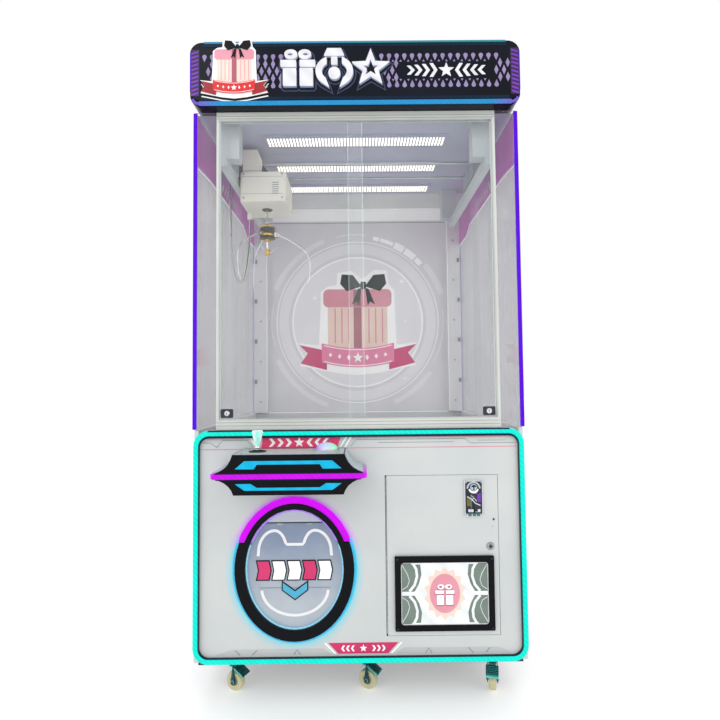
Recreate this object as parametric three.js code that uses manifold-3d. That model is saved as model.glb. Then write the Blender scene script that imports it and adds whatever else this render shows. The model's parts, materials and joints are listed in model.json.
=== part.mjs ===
// Claw crane machine: cabinet on casters, glass case with a gantry crane, lit header and console.
// Millimetres. X runs across the machine, Z is up. Inside this file Y starts at the front glass
// plane and grows towards the rear; the whole group is moved at the end so that the origin is at
// the centre of the machine's footprint, on the floor.
import * as THREE from "three";
import { mergeVertices } from "three/addons/utils/BufferGeometryUtils.js";
import Module from "manifold-3d";

const wasm = await Module();
wasm.setup();

// ---------------------------------------------------------------- driving dimensions
const GAP = 0.3; // clearance between neighbours that touch
const HALF_WIDTH = 521; // cabinet, out to its side faces
const DEPTH = 966; // front glass plane to the rear face
const CABINET = { low: 125, high: 844, corner: 49 };
const BASE = { low: 100, front: 60, rear: 930, half: 500, floor: 6, floorRear: 949 };
const CASE_TOP = 1869.5; // top of the glass case
const PANEL = 4; // front sheet
const BOARD = 15; // cabinet side boards
const GLASS = 5;

const HEADER = { half: 526, low: 1870.5, high: 2079, front: -39, face: -33, rear: 150, corner: 38, wall: 3 };
const HEADER_LIP = { high: 1887, front: -37 };
const ROOF = { high: 1960, wall: 1.5 };
const LAMP_BOARD = { half: 327, width: 93, drop: 8, first: 198, pitch: 231, count: 3 };

const FRAME = { half: 450.5, stile: 10.5, sillTop: 879, railLow: 1842, front: -2, rear: 20 };
const TRACK = { depth: 8, front: 3.4, rear: 16.6 };
const SLIDER_OVERLAP = { left: -27, right: 20 };

const PLAYFIELD = { high: 799, thick: 9 };
const CHUTE = { left: -500, right: -20, hatch: -190, rear: 400, wall: 2, floor: 203, slope: 0.14 };
const GUARD_HEIGHT = 50;

const RING = { x: -204, z: 412, rx: 153, rz: 185, thin: 18, thick: 33, step: 85, proud: 14 };
const RING_LAMP = { margin: 5, proud: 9 };
const FLAP = { half: 166, low: 216, pivotY: 7, pivotZ: 549, thick: 4, corner: 90 };

const DOOR = { left: 85.5, right: 435, low: 203.5, high: 696.5, hingeGap: 5, thick: 3.5 };
const DISPLAY = { x: [108, 418], z: [219, 447.5], border: 19, proud: 10 };
const COIN = { x: [329.5, 387.5], z: [568, 680], proud: 5, buttonZ: 659, buttonR: 11 };
const LOCK = { x: 409, z: 475, r: 9 };

const CONSOLE = { x: -203, deck: 786, low: 671, front: -150, wall: 4, top: 161.5, wide: 214, foot: 158 };
const CONSOLE_LAMP = { low: 716.5, high: 732.5, proud: 6, tip: 11 };
const STICK = { x: -305, y: -78, pivotZ: 766, shaft: 5, knobLow: 800, knobHigh: 851 };
const BUTTON = { x: -96.5, y: -78, r: 33 };

const RAIL = { inner: 432, outer: 456, low: 1715, high: 1745, front: 50, rear: 760 };
const HANGER = { inner: 391, front: [60, 110], rear: [700, 750] };
const BRIDGE = { rodZ: 1800, rodR: 6, rods: [244, 380], truck: 28 };
const TROLLEY = { x: -341, y: 312, half: 84, front: 215, rear: 409, low: 1654, shoulder: 1765, high: 1853 };
const HOOD = { left: 76, foot: -9, right: 22 }; // measured from the trolley's middle, leftwards
const DRUM = { r: 26, z: 1704, half: 30, cordR: 2 };
const CLAW = { top: 1600, coilHigh: 1587, coilLow: 1541, r: 30, pivotR: 38, pivotZ: 1556, bore: 6.5 };
const PRONG_ANGLES = [0, 120, 240];
const PRONG_NAMES = ["right", "rear", "front"];
const NUT = { low: 1480, high: 1500, r: 10 };

const CASTER = { wheelR: 30, width: 24, trail: 26, cheekY: 14, cheek: 3, top: 96.7, plate: 3 };
const CASTER_X = 431;
const CASTERS = [
  { name: "front_left", x: -CASTER_X, y: 95, turn: -25, brake: true },
  { name: "front_middle", x: 0, y: 95, turn: -25, brake: true },
  { name: "front_right", x: CASTER_X, y: 95, turn: -105, brake: true },
  { name: "rear_left", x: -CASTER_X, y: 870, turn: 25 },
  { name: "rear_middle", x: 0, y: 870, turn: 155 },
  { name: "rear_right", x: CASTER_X, y: 870, turn: 60 },
];

// ---------------------------------------------------------------- materials
const paint = (color, roughness = 0.45, metalness = 0) =>
  new THREE.MeshStandardMaterial({ color, roughness, metalness });
const LOOK = {
  white: () => paint(0xcfd2d0),
  black: () => paint(0x0e1016, 0.35),
  steel: () => paint(0xa8adb2, 0.35, 0.9),
  chrome: () => paint(0xd8d8dc, 0.12, 1),
  cyan: () => paint(0x12f0e0, 0.3),
  magenta: () => paint(0xe010ff, 0.3),
  ivory: () => paint(0xe8e4d8, 0.4),
  rubber: () => paint(0xd9cf9a, 0.6),
  brass: () => paint(0xc9a24a, 0.3, 0.9),
  cable: () => paint(0x8a8a86, 0.7),
  pane: () => new THREE.MeshStandardMaterial({ color: 0xdfeef0, roughness: 0.05, transparent: true, opacity: 0.3 }),
};

// ---------------------------------------------------------------- shape helpers
const radians = THREE.MathUtils.degToRad;
const vector = (x, y, z) => new THREE.Vector3(x, y, z);

function toSolid(geometry) {
  const bare = geometry.clone();
  bare.deleteAttribute("normal");
  bare.deleteAttribute("uv");
  const merged = mergeVertices(bare, 1e-4);
  const vertProperties = merged.attributes.position.array;
  const triVerts = new Uint32Array(merged.index.array);
  return new wasm.Manifold(new wasm.Mesh({ numProp: 3, vertProperties, triVerts }));
}

function toGeometry(solid) {
  const mesh = solid.getMesh();
  const geometry = new THREE.BufferGeometry();
  geometry.setAttribute("position", new THREE.BufferAttribute(mesh.vertProperties, 3));
  geometry.setIndex(new THREE.BufferAttribute(mesh.triVerts, 1));
  geometry.computeVertexNormals();
  return geometry;
}

const join = (...pieces) => toGeometry(pieces.map(toSolid).reduce((sum, next) => sum.add(next)));
const cut = (body, ...tools) =>
  toGeometry(tools.map(toSolid).reduce((rest, tool) => rest.subtract(tool), toSolid(body)));

function block([x0, x1], [y0, y1], [z0, z1]) {
  const box = new THREE.BoxGeometry(x1 - x0, y1 - y0, z1 - z0);
  return box.translate((x0 + x1) / 2, (y0 + y1) / 2, (z0 + z1) / 2);
}

// An outline pushed through from one coordinate to another, with its edges broken by a chamfer.
function extrude(shape, [from, to], basis, chamfer, curveSegments) {
  const depth = to - from - 2 * chamfer;
  const options = { depth, curveSegments, bevelEnabled: chamfer > 0 };
  Object.assign(options, { bevelThickness: chamfer, bevelSize: chamfer, bevelOffset: -chamfer, bevelSegments: 1 });
  const geometry = new THREE.ExtrudeGeometry(shape, options).translate(0, 0, chamfer);
  return geometry.applyMatrix4(basis);
}

// Outline in X and Z, seen from the front; range in Y.
function frontPlate(shape, [front, rear], chamfer = 0, curveSegments = 12) {
  const basis = new THREE.Matrix4().makeBasis(vector(1, 0, 0), vector(0, 0, 1), vector(0, -1, 0));
  return extrude(shape, [front, rear], basis, chamfer, curveSegments).translate(0, rear, 0);
}

// Outline in X and Y, seen from above; range in Z.
function floorPlate(shape, [low, high], chamfer = 0, curveSegments = 6) {
  return extrude(shape, [low, high], new THREE.Matrix4(), chamfer, curveSegments).translate(0, 0, low);
}

// Outline in Y and Z, seen from the side; range in X.
function sidePlate(shape, [left, right], chamfer = 0, curveSegments = 8) {
  const basis = new THREE.Matrix4().makeBasis(vector(0, 1, 0), vector(0, 0, 1), vector(1, 0, 0));
  return extrude(shape, [left, right], basis, chamfer, curveSegments).translate(left, 0, 0);
}

function roundedRect([x0, x1], [z0, z1], r, Kind = THREE.Shape) {
  const outline = new Kind();
  outline.absarc(x1 - r, z0 + r, r, -Math.PI / 2, 0, false);
  outline.absarc(x1 - r, z1 - r, r, 0, Math.PI / 2, false);
  outline.absarc(x0 + r, z1 - r, r, Math.PI / 2, Math.PI, false);
  outline.absarc(x0 + r, z0 + r, r, Math.PI, (3 * Math.PI) / 2, false);
  return outline;
}

function polygon(points, Kind = THREE.Shape) {
  return new Kind(points.map(([x, y]) => new THREE.Vector2(x, y)));
}

const rect = ([x0, x1], [y0, y1], Kind) =>
  polygon([[x0, y0], [x1, y0], [x1, y1], [x0, y1]], Kind);

// A round bar along one axis, from one coordinate to the other.
function bar(axis, r, [from, to], [x, y, z], sides = 20) {
  const rod = new THREE.CylinderGeometry(r, r, to - from, sides);
  const middle = (from + to) / 2;
  if (axis === "x") return rod.rotateZ(-Math.PI / 2).translate(middle, y, z);
  if (axis === "y") return rod.translate(x, middle, z);
  return rod.rotateX(Math.PI / 2).translate(x, y, middle);
}

// A turned body about a vertical axis. The profile runs up its outer side and ends on the axis.
function turned(profile, sides = 24) {
  const points = profile.map(([r, z]) => new THREE.Vector2(r, z));
  return new THREE.LatheGeometry(points, sides).rotateX(Math.PI / 2);
}

const machine = new THREE.Group();
machine.position.y = -(DEPTH + CONSOLE.front - CONSOLE_LAMP.proud) / 2;

function add(name, geometry, material, parent = machine) {
  const mesh = new THREE.Mesh(geometry, material);
  mesh.name = name;
  parent.add(mesh);
  return mesh;
}

// ---------------------------------------------------------------- lower cabinet
function baseFrame() {
  const slab = rect([-BASE.half, BASE.half], [BASE.front, BASE.rear]);
  const plates = CASTERS.map(({ x, y }) =>
    block([x - 32, x + 32], [y - 32, y + 32], [BASE.low - CASTER.plate, BASE.low + 1]));
  const inner = HALF_WIDTH - BOARD - GAP;
  const top = CABINET.low - GAP;
  const floor = block([-inner, inner], [PANEL + GAP, BASE.floorRear], [top - BASE.floor, top]);
  return join(floorPlate(slab, [BASE.low, top], 2), floor, ...plates);
}

function sidePanel(side) {
  const outline = rect([PANEL + GAP, DEPTH - PANEL], [CABINET.low, CABINET.high - GAP]);
  const range = [HALF_WIDTH - BOARD, HALF_WIDTH];
  return sidePlate(outline, side > 0 ? range : [-range[1], -range[0]], 1.5);
}

function rearPanel() {
  const inner = HALF_WIDTH - BOARD - GAP;
  const board = frontPlate(rect([-inner, inner], [CABINET.low, CABINET.high - GAP]), [950, DEPTH - PANEL], 1);
  const inletPlate = frontPlate(roundedRect([320, 440], [190, 260], 6), [DEPTH - PANEL - 1, DEPTH], 1, 4);
  const inletSocket = frontPlate(roundedRect([334, 364], [210, 240], 4), [955, DEPTH + 1], 0, 3);
  const louvres = [0, 1, 2, 3, 4, 5].map((row) => block([-180, 180], [949, DEPTH], [560 + 24 * row, 568 + 24 * row]));
  return cut(join(board, inletPlate), inletSocket, ...louvres);
}

const oval = (grow, Kind = THREE.Shape) => {
  const path = new Kind();
  path.absellipse(RING.x, RING.z, RING.rx + grow, RING.rz + grow, 0, 2 * Math.PI, false, 0);
  return path;
};

function frontPanel() {
  const outline = roundedRect([-HALF_WIDTH, HALF_WIDTH], [CABINET.low, CABINET.high], CABINET.corner);
  outline.holes.push(oval(0, THREE.Path));
  outline.holes.push(rect(
    [DOOR.left - DOOR.hingeGap, DOOR.right + 1.2], [DOOR.low - 1, DOOR.high + 1], THREE.Path));
  return frontPlate(outline, [0, PANEL], 0, 16);
}

function frontLamp() {
  const edge = 1;
  const width = 16;
  const outline = roundedRect([-HALF_WIDTH + edge, HALF_WIDTH - edge],
    [CABINET.low + edge, CABINET.high - edge], CABINET.corner - edge);
  const inset = edge + width;
  outline.holes.push(roundedRect([-HALF_WIDTH + inset, HALF_WIDTH - inset],
    [CABINET.low + inset, CABINET.high - inset], CABINET.corner - inset, THREE.Path));
  return frontPlate(outline, [-12, -GAP], 3, 6);
}

function playfield() {
  const inner = HALF_WIDTH - BOARD - GAP;
  const outline = rect([-inner, inner], [PANEL + GAP, 950 - GAP]);
  outline.holes.push(rect([CHUTE.left, CHUTE.hatch], [14, CHUTE.rear - 2], THREE.Path));
  return floorPlate(outline, [PLAYFIELD.high - PLAYFIELD.thick, PLAYFIELD.high], 0);
}

function prizeChute() {
  const front = 12;
  const high = PLAYFIELD.high - PLAYFIELD.thick - GAP;
  const rise = (y) => CHUTE.floor + CHUTE.slope * (y - front);
  const wall = (x) => block([x, x + CHUTE.wall], [front, CHUTE.rear + CHUTE.wall], [CHUTE.floor - 3, high]);
  const rear = block([CHUTE.left, CHUTE.right], [CHUTE.rear, CHUTE.rear + CHUTE.wall], [CHUTE.floor, high]);
  const ramp = sidePlate(polygon([
    [front, CHUTE.floor - 3], [CHUTE.rear + 1, rise(CHUTE.rear) - 3],
    [CHUTE.rear + 1, rise(CHUTE.rear)], [front, CHUTE.floor]]), [CHUTE.left - 1, CHUTE.right + 1]);
  return join(wall(CHUTE.left - CHUTE.wall), wall(CHUTE.right), rear, ramp);
}

function chuteGuard() {
  const sheet = 4;
  const low = PLAYFIELD.high + GAP;
  return join(
    block([CHUTE.hatch, CHUTE.hatch + sheet], [FRAME.rear + 2, CHUTE.rear + sheet], [low, low + GUARD_HEIGHT]),
    block([CHUTE.left, CHUTE.hatch + 1], [CHUTE.rear, CHUTE.rear + sheet], [low, low + GUARD_HEIGHT]));
}

// ---------------------------------------------------------------- prize opening
// An oval that is grown more below the step than above it.
function steppedOval(upper, lower, step, Kind = THREE.Shape) {
  const path = new Kind();
  const arc = (grow, from, to) =>
    path.absellipse(RING.x, RING.z, RING.rx + grow, RING.rz + grow, from, to, false, 0);
  const upperStart = Math.asin(step / (RING.rz + upper));
  const lowerStart = Math.asin(step / (RING.rz + lower));
  arc(upper, upperStart, Math.PI - upperStart);
  arc(lower, Math.PI - lowerStart, 2 * Math.PI + lowerStart);
  return path;
}

function prizeRing() {
  const outline = steppedOval(RING.thin, RING.thick, RING.step);
  outline.holes.push(oval(0, THREE.Path));
  return frontPlate(outline, [-RING.proud, -GAP], 2, 18);
}

function ringLamp() {
  const outline = oval(RING.thick + RING_LAMP.margin);
  outline.holes.push(steppedOval(RING.thin + 0.4, RING.thick + 0.4, RING.step + 0.4, THREE.Path));
  return frontPlate(outline, [-RING_LAMP.proud, -GAP], 0, 18);
}

function prizeWindow() {
  const lap = 12;
  const chord = FLAP.pivotZ + 6 - RING.z;
  const start = Math.asin(chord / (RING.rz + lap));
  const outline = new THREE.Shape();
  outline.absellipse(RING.x, RING.z, RING.rx + lap, RING.rz + lap, start, Math.PI - start, false, 0);
  return frontPlate(outline, [PANEL + GAP, PANEL + GAP + 4], 0, 14);
}

function prizeFlap() {
  const { half, low, thick, pivotY, pivotZ, corner } = FLAP;
  const top = pivotZ - 2;
  const outline = new THREE.Shape();
  outline.absarc(RING.x + half - corner, low + corner, corner, -Math.PI / 2, 0, false);
  outline.lineTo(RING.x + half, top);
  outline.lineTo(RING.x - half, top);
  outline.absarc(RING.x - half + corner, low + corner, corner, Math.PI, (3 * Math.PI) / 2, false);
  const sheet = frontPlate(outline, [pivotY - thick / 2, pivotY + thick / 2], 0, 8);
  return join(sheet, bar("x", 2.6, [RING.x - half - 6, RING.x + half + 6], [0, pivotY, pivotZ], 12));
}

// ---------------------------------------------------------------- console
function consoleOutline(shrink) {
  const { x, deck, low, top, wide, foot } = CONSOLE;
  const { low: bandLow, high: bandHigh } = CONSOLE_LAMP;
  const side = wide - shrink;
  const outline = new THREE.Shape();
  outline.moveTo(x - foot + shrink / 2, low + shrink);
  outline.lineTo(x + foot - shrink / 2, low + shrink);
  outline.quadraticCurveTo(x + foot + 12 - shrink, bandLow - 8, x + side, bandLow);
  outline.lineTo(x + side, bandHigh);
  outline.quadraticCurveTo(x + top + 12 - shrink, bandHigh + 10, x + top - shrink / 2, deck - shrink);
  outline.lineTo(x - top + shrink / 2, deck - shrink);
  outline.quadraticCurveTo(x - top - 12 + shrink, bandHigh + 10, x - side, bandHigh);
  outline.lineTo(x - side, bandLow);
  outline.quadraticCurveTo(x - foot - 12 + shrink, bandLow - 8, x - foot + shrink / 2, low + shrink);
  return outline;
}

const DECK_X = [CONSOLE.x - CONSOLE.top + 8, CONSOLE.x + CONSOLE.top - 8];
const DECK_Y = [CONSOLE.front + 8, -8];

function consoleShell() {
  const outer = frontPlate(consoleOutline(0), [CONSOLE.front, -GAP], 1.5, 5);
  const hollow = frontPlate(consoleOutline(CONSOLE.wall), [CONSOLE.front + CONSOLE.wall, 1], 0, 5);
  return cut(outer, hollow, block(DECK_X, DECK_Y, [CONSOLE.deck - 10, CONSOLE.deck + 1]));
}

function consoleDeck() {
  const xs = [DECK_X[0] + GAP, DECK_X[1] - GAP];
  const ys = [DECK_Y[0] + GAP, DECK_Y[1] - GAP];
  const plate = block(xs, ys, [CONSOLE.deck - 5, CONSOLE.deck]);
  const collar = bar("z", BUTTON.r + 4, [CONSOLE.deck - 1, CONSOLE.deck + 5], [BUTTON.x, BUTTON.y, 0], 28);
  const buttonHole = bar("z", BUTTON.r + 1, [CONSOLE.deck - 9, CONSOLE.deck + 9], [BUTTON.x, BUTTON.y, 0], 28);
  const stickHole = bar("z", 17, [CONSOLE.deck - 9, CONSOLE.deck + 9], [STICK.x, STICK.y, 0], 20);
  return cut(join(plate, collar), buttonHole, stickHole);
}

function consoleLamp() {
  const { tip, proud, low, high } = CONSOLE_LAMP;
  const inner = CONSOLE.wide + GAP;
  const outer = inner + tip;
  const nose = 8;
  const outline = polygon([
    [CONSOLE.x - outer, -GAP], [CONSOLE.x - outer, CONSOLE.front + nose],
    [CONSOLE.x - outer + nose, CONSOLE.front - proud], [CONSOLE.x + outer - nose, CONSOLE.front - proud],
    [CONSOLE.x + outer, CONSOLE.front + nose], [CONSOLE.x + outer, -GAP],
    [CONSOLE.x + inner, -GAP], [CONSOLE.x + inner, CONSOLE.front - GAP],
    [CONSOLE.x - inner, CONSOLE.front - GAP], [CONSOLE.x - inner, -GAP]]);
  return floorPlate(outline, [low + 1, high - 1], 0);
}

function joystickGimbal() {
  const half = 22;
  const cradle = block([STICK.x - half, STICK.x + half], [STICK.y - half, STICK.y + half],
    [STICK.pivotZ - 6, STICK.pivotZ + 6]);
  const slot = block([STICK.x - 15, STICK.x + 15], [STICK.y - 8, STICK.y + 8],
    [STICK.pivotZ - 7, STICK.pivotZ + 7]);
  return cut(cradle, slot);
}

function joystickStick() {
  const { x, y, pivotZ, shaft, knobLow, knobHigh } = STICK;
  const knob = turned([
    [0, knobLow - 4], [8, knobLow - 4], [9, knobLow + 6], [17, knobHigh - 14], [18, knobHigh - 8],
    [12, knobHigh - 1], [0, knobHigh]], 10).translate(x, y, 0);
  return join(knob, bar("z", shaft, [pivotZ - 24, knobLow], [x, y, 0], 14));
}

function dropButton() {
  const { x, y, r } = BUTTON;
  const high = CONSOLE.deck + 26;
  const low = CONSOLE.deck - 14;
  const domeBase = CONSOLE.deck + 8;
  const dome = [];
  for (let step = 0; step <= 6; step += 1) {
    const angle = (step / 6) * (Math.PI / 2);
    dome.push([r * Math.cos(angle), domeBase + (high - domeBase) * Math.sin(angle)]);
  }
  dome[6][0] = 0;
  return turned([[0, low], [r, low], ...dome], 24).translate(x, y, 0);
}

// ---------------------------------------------------------------- service door
function serviceDoor() {
  const outline = rect([DOOR.left, DOOR.right], [DOOR.low, DOOR.high]);
  const pane = DISPLAY.border + 4;
  outline.holes.push(rect([DISPLAY.x[0] + pane, DISPLAY.x[1] - pane],
    [DISPLAY.z[0] + pane, DISPLAY.z[1] - pane], THREE.Path));
  const keyhole = new THREE.Path();
  keyhole.absarc(LOCK.x, LOCK.z, LOCK.r + 0.4, 0, 2 * Math.PI, false);
  outline.holes.push(keyhole);
  const buttonHole = new THREE.Path();
  buttonHole.absarc((COIN.x[0] + COIN.x[1]) / 2, COIN.buttonZ, COIN.buttonR + 1, 0, 2 * Math.PI, false);
  outline.holes.push(buttonHole);
  return frontPlate(outline, [0, DOOR.thick], 0, 10);
}

function coinPlate() {
  const middle = (COIN.x[0] + COIN.x[1]) / 2;
  const outline = roundedRect(COIN.x, COIN.z, 4);
  const hole = new THREE.Path();
  hole.absarc(middle, COIN.buttonZ, COIN.buttonR + 0.6, 0, 2 * Math.PI, false);
  outline.holes.push(hole);
  const plate = frontPlate(outline, [-COIN.proud, -GAP], 1, 12);
  const slot = block([middle - 2, middle + 2], [-COIN.proud - 4, -2], [602, 632]);
  const slotBezel = frontPlate(roundedRect([middle - 9, middle + 9], [594, 640], 6), [-8, -3], 1, 4);
  return cut(join(plate, slotBezel), slot);
}

function coinButton() {
  const middle = (COIN.x[0] + COIN.x[1]) / 2;
  const face = new THREE.Shape();
  face.absarc(middle, COIN.buttonZ, COIN.buttonR, 0, 2 * Math.PI, false);
  return frontPlate(face, [-10, -1], 1, 10);
}

function displayWindow() {
  const { x, z, border, proud } = DISPLAY;
  const bezel = frontPlate(roundedRect(x, z, 3), [-proud, -GAP], 1.5, 4);
  const recess = frontPlate(roundedRect([x[0] + border, x[1] - border], [z[0] + border, z[1] - border], 10),
    [-proud - 1, -5], 0, 5);
  return cut(bezel, recess);
}

function doorLock() {
  const barrel = bar("y", LOCK.r, [-4, 14], [LOCK.x, 0, LOCK.z], 20);
  const cam = block([LOCK.x - 6, LOCK.x + 6], [14 - 1, 17], [LOCK.z - 22, LOCK.z + 6]);
  return join(barrel, cam);
}

// ---------------------------------------------------------------- glass case
function sideGlass(side) {
  const outer = HALF_WIDTH - 1;
  const strip = FRAME.half + 0.5;
  const points = [
    [strip, 0], [outer, 0], [outer, DEPTH - 8 - GAP], [outer - GLASS, DEPTH - 8 - GAP],
    [outer - GLASS, GLASS], [strip, GLASS]];
  const outline = polygon(side > 0 ? points : points.map(([x, y]) => [-x, y]));
  return floorPlate(outline, [CABINET.high + 1, CASE_TOP], 0);
}

function frontFrame() {
  const { half, stile, sillTop, railLow, front, rear } = FRAME;
  const low = CABINET.high + 1;
  const outline = rect([-half, half], [low, CASE_TOP]);
  outline.holes.push(rect([-half + stile, half - stile], [sillTop, railLow], THREE.Path));
  const ring = frontPlate(outline, [front, rear], 0);
  const run = [-half + stile, half - stile];
  const groove = (z) => block(run, [TRACK.front, TRACK.rear], z);
  return cut(ring, groove([sillTop - TRACK.depth, sillTop + 1]), groove([railLow - 1, railLow + TRACK.depth]));
}

function slidingGlass(xs, front) {
  const low = FRAME.sillTop - TRACK.depth + 1;
  const high = FRAME.railLow + TRACK.depth - 1;
  return frontPlate(rect(xs, [low, high]), [front, front + GLASS], 0.8);
}

function rearWall() {
  const low = CABINET.high + 1;
  const wall = block([-HALF_WIDTH + 1, HALF_WIDTH - 1], [DEPTH - 8, DEPTH], [low, CASE_TOP]);
  const post = (side) => {
    const xs = [450, HALF_WIDTH - 1 - GLASS - GAP].map((x) => side * x).sort((a, b) => a - b);
    return block(xs, [930, DEPTH - 7], [low, CASE_TOP]);
  };
  return join(wall, post(-1), post(1));
}

function roof() {
  const half = HALF_WIDTH;
  const front = HEADER.rear + GAP;
  const outer = block([-half, half], [front, DEPTH], [HEADER.low, ROOF.high]);
  const hollow = block([-half + ROOF.wall, half - ROOF.wall], [front - 1, DEPTH - ROOF.wall],
    [HEADER.low + ROOF.wall, ROOF.high - ROOF.wall]);
  const boards = [];
  for (let row = 0; row < LAMP_BOARD.count; row += 1) {
    const y = LAMP_BOARD.first + row * LAMP_BOARD.pitch;
    boards.push(block([-LAMP_BOARD.half, LAMP_BOARD.half],
      [y - LAMP_BOARD.width / 2, y + LAMP_BOARD.width / 2],
      [HEADER.low - LAMP_BOARD.drop, HEADER.low + 1]));
  }
  return join(cut(outer, hollow), ...boards);
}

function headerBox() {
  const { half, low, high, face, rear, corner, wall } = HEADER;
  const outer = frontPlate(roundedRect([-half, half], [low, high], corner), [face, rear], 0, 6);
  const hollow = frontPlate(roundedRect([-half + wall, half - wall], [HEADER_LIP.high, high - wall],
    corner - wall), [face - 1, rear - wall], 0, 6);
  const lip = frontPlate(roundedRect([-half + corner, half - corner], [low, HEADER_LIP.high - 1], 2),
    [HEADER_LIP.front, face + 1], 0, 3);
  return join(cut(outer, hollow), lip);
}

function headerPanel() {
  const { half, high, front, face, corner } = HEADER;
  const outline = roundedRect([-half, half], [HEADER_LIP.high, high], corner);
  return frontPlate(outline, [front, face - GAP], 1.5, 6);
}

// ---------------------------------------------------------------- gantry and claw
function rail(side) {
  const across = (inner, outer) => [side * inner, side * outer].sort((a, b) => a - b);
  const beam = block(across(RAIL.inner, RAIL.outer), [RAIL.front, RAIL.rear], [RAIL.low, RAIL.high]);
  const hanger = (ys) =>
    block(across(HANGER.inner, RAIL.outer), ys, [RAIL.high - 1, HEADER.low - GAP]);
  return join(beam, hanger(HANGER.front), hanger(HANGER.rear));
}

function bridge() {
  const reach = RAIL.inner - 2;
  const truck = (x) => block([x, x + BRIDGE.truck], [225, 400], [RAIL.high + 3, BRIDGE.rodZ + 18]);
  const rods = BRIDGE.rods.map((y) => bar("x", BRIDGE.rodR, [-reach - 5, reach + 5], [0, y, BRIDGE.rodZ], 16));
  return join(truck(-reach - BRIDGE.truck), truck(reach), ...rods);
}

function trolley() {
  const { x, y, half, front, rear, low, shoulder, high } = TROLLEY;
  const shell = floorPlate(roundedRect([x - half, x + half], [front, rear], 14), [low, shoulder], 3, 5);
  const hood = frontPlate(polygon([
    [x - HOOD.left, shoulder - 2], [x - HOOD.foot, shoulder - 2], [x - HOOD.right, high], [x - HOOD.left, high]]),
    [228, 396], 2);
  const wall = 4;
  const hollow = block([x - half + 12, x + half - 12], [front + 12, rear - 12], [low + wall, shoulder - wall]);
  const cordHole = bar("z", 16, [low - 5, low + 10], [x, y, 0], 20);
  const rodHoles = BRIDGE.rods.map((rodY) => bar("x", BRIDGE.rodR + 0.6, [x - 90, x + 90], [0, rodY, BRIDGE.rodZ], 16));
  return cut(join(shell, hood), hollow, cordHole, ...rodHoles);
}

const DRUM_Y = TROLLEY.y + DRUM.r + DRUM.cordR + 1;

function winchDrum() {
  const { r, z, half } = DRUM;
  const at = [0, DRUM_Y, z];
  const x = TROLLEY.x;
  const shaftHalf = TROLLEY.half - 12 - GAP;
  return join(
    bar("x", r, [x - half, x + half], at, 28),
    bar("x", r + 6, [x - half - 3, x - half], at, 28),
    bar("x", r + 6, [x + half, x + half + 3], at, 28),
    bar("x", 4, [x - shaftHalf, x + shaftHalf], at, 14));
}

function hoistCord() {
  return bar("z", DRUM.cordR, [CLAW.top + GAP, DRUM.z], [TROLLEY.x, TROLLEY.y, 0], 8);
}

const claw = new THREE.Group();
claw.position.set(TROLLEY.x, TROLLEY.y, 0);
machine.add(claw);

function clawBody() {
  const { top, coilHigh, coilLow, r, pivotR, pivotZ, bore } = CLAW;
  const shell = turned([
    [0, coilHigh + 3], [bore, coilHigh + 3], [bore, coilLow], [r + 1, coilLow], [r + 1, coilLow + 3],
    [r - 2.5, coilLow + 4], [r - 2.5, coilHigh - 4], [r, coilHigh - 3], [r, coilHigh],
    [r - 8, coilHigh + 5], [9, coilHigh + 6], [7, top], [0, top]]);
  const ears = PRONG_ANGLES.flatMap((angle) => {
    const ear = (side) => block([r - 4, pivotR + 5], [side * 7.5 - 1.5, side * 7.5 + 1.5], [pivotZ - 6, pivotZ + 6]);
    const pin = bar("y", 2.2, [-8, 8], [pivotR, 0, pivotZ], 8);
    return [ear(-1), ear(1), pin].map((piece) => piece.rotateZ(radians(angle)));
  });
  return join(shell, ...ears);
}

function clawSlider() {
  const rod = bar("z", 5, [NUT.high - 1, CLAW.coilLow + 30], [0, 0, 0], 16);
  const nut = bar("z", NUT.r, [NUT.low, NUT.high], [0, 0, 0], 20);
  const arms = PRONG_ANGLES.map((angle) => {
    const side = polygon([[4, NUT.high - 12], [8, NUT.high - 12], [36, NUT.high + 7], [34, NUT.high + 11], [4, NUT.high - 3]]);
    return frontPlate(side, [-2.5, 2.5]).rotateZ(radians(angle));
  });
  return join(rod, nut, ...arms);
}

// The side view of one prong: a bar of even thickness along a curve, from its pivot at the origin.
function prongOutline(thickness) {
  const spine = new THREE.SplineCurve([
    [2, -1], [26, -9], [62, -30], [98, -55], [118, -82], [124, -112], [123, -145], [117, -178], [106, -194],
  ].map(([x, z]) => new THREE.Vector2(x, z)));
  const steps = 14;
  const near = [];
  const far = [];
  for (let step = 0; step <= steps; step += 1) {
    const at = step / steps;
    const point = spine.getPoint(at);
    const along = spine.getTangent(at);
    const half = (thickness / 2) * (1 - 0.45 * at * at);
    near.push([point.x - along.y * half, point.y + along.x * half]);
    far.unshift([point.x + along.y * half, point.y - along.x * half]);
  }
  return polygon([...far, ...near]);
}

function prong() {
  const blade = frontPlate(prongOutline(6), [-4, 4], 0.8);
  const eye = bar("y", 5, [-5.5, 5.5], [0, 0, 0], 12);
  return cut(join(blade, eye), bar("y", 2.7, [-7, 7], [0, 0, 0], 8));
}

function harness() {
  const { x, y, low } = TROLLEY;
  const route = new THREE.CatmullRomCurve3([
    vector(-458.4, y, 1778), vector(-468, y, 1777), vector(-478, y, 1764), vector(-481, y, 1730),
    vector(-482, y + 2, 1620), vector(-478, y + 4, 1500), vector(-466, y + 5, 1410), vector(-446, y + 5, 1377),
    vector(-426, y + 4, 1402), vector(-413, y + 2, 1490), vector(x - 66, y, 1590), vector(x - 66, y, low - GAP)]);
  const section = new THREE.Shape();
  section.absarc(0, 0, 3, 0, 2 * Math.PI, false);
  return new THREE.ExtrudeGeometry(section, { steps: 30, curveSegments: 4, extrudePath: route });
}

// ---------------------------------------------------------------- casters
const WHEEL_SIDES = 24;

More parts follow.
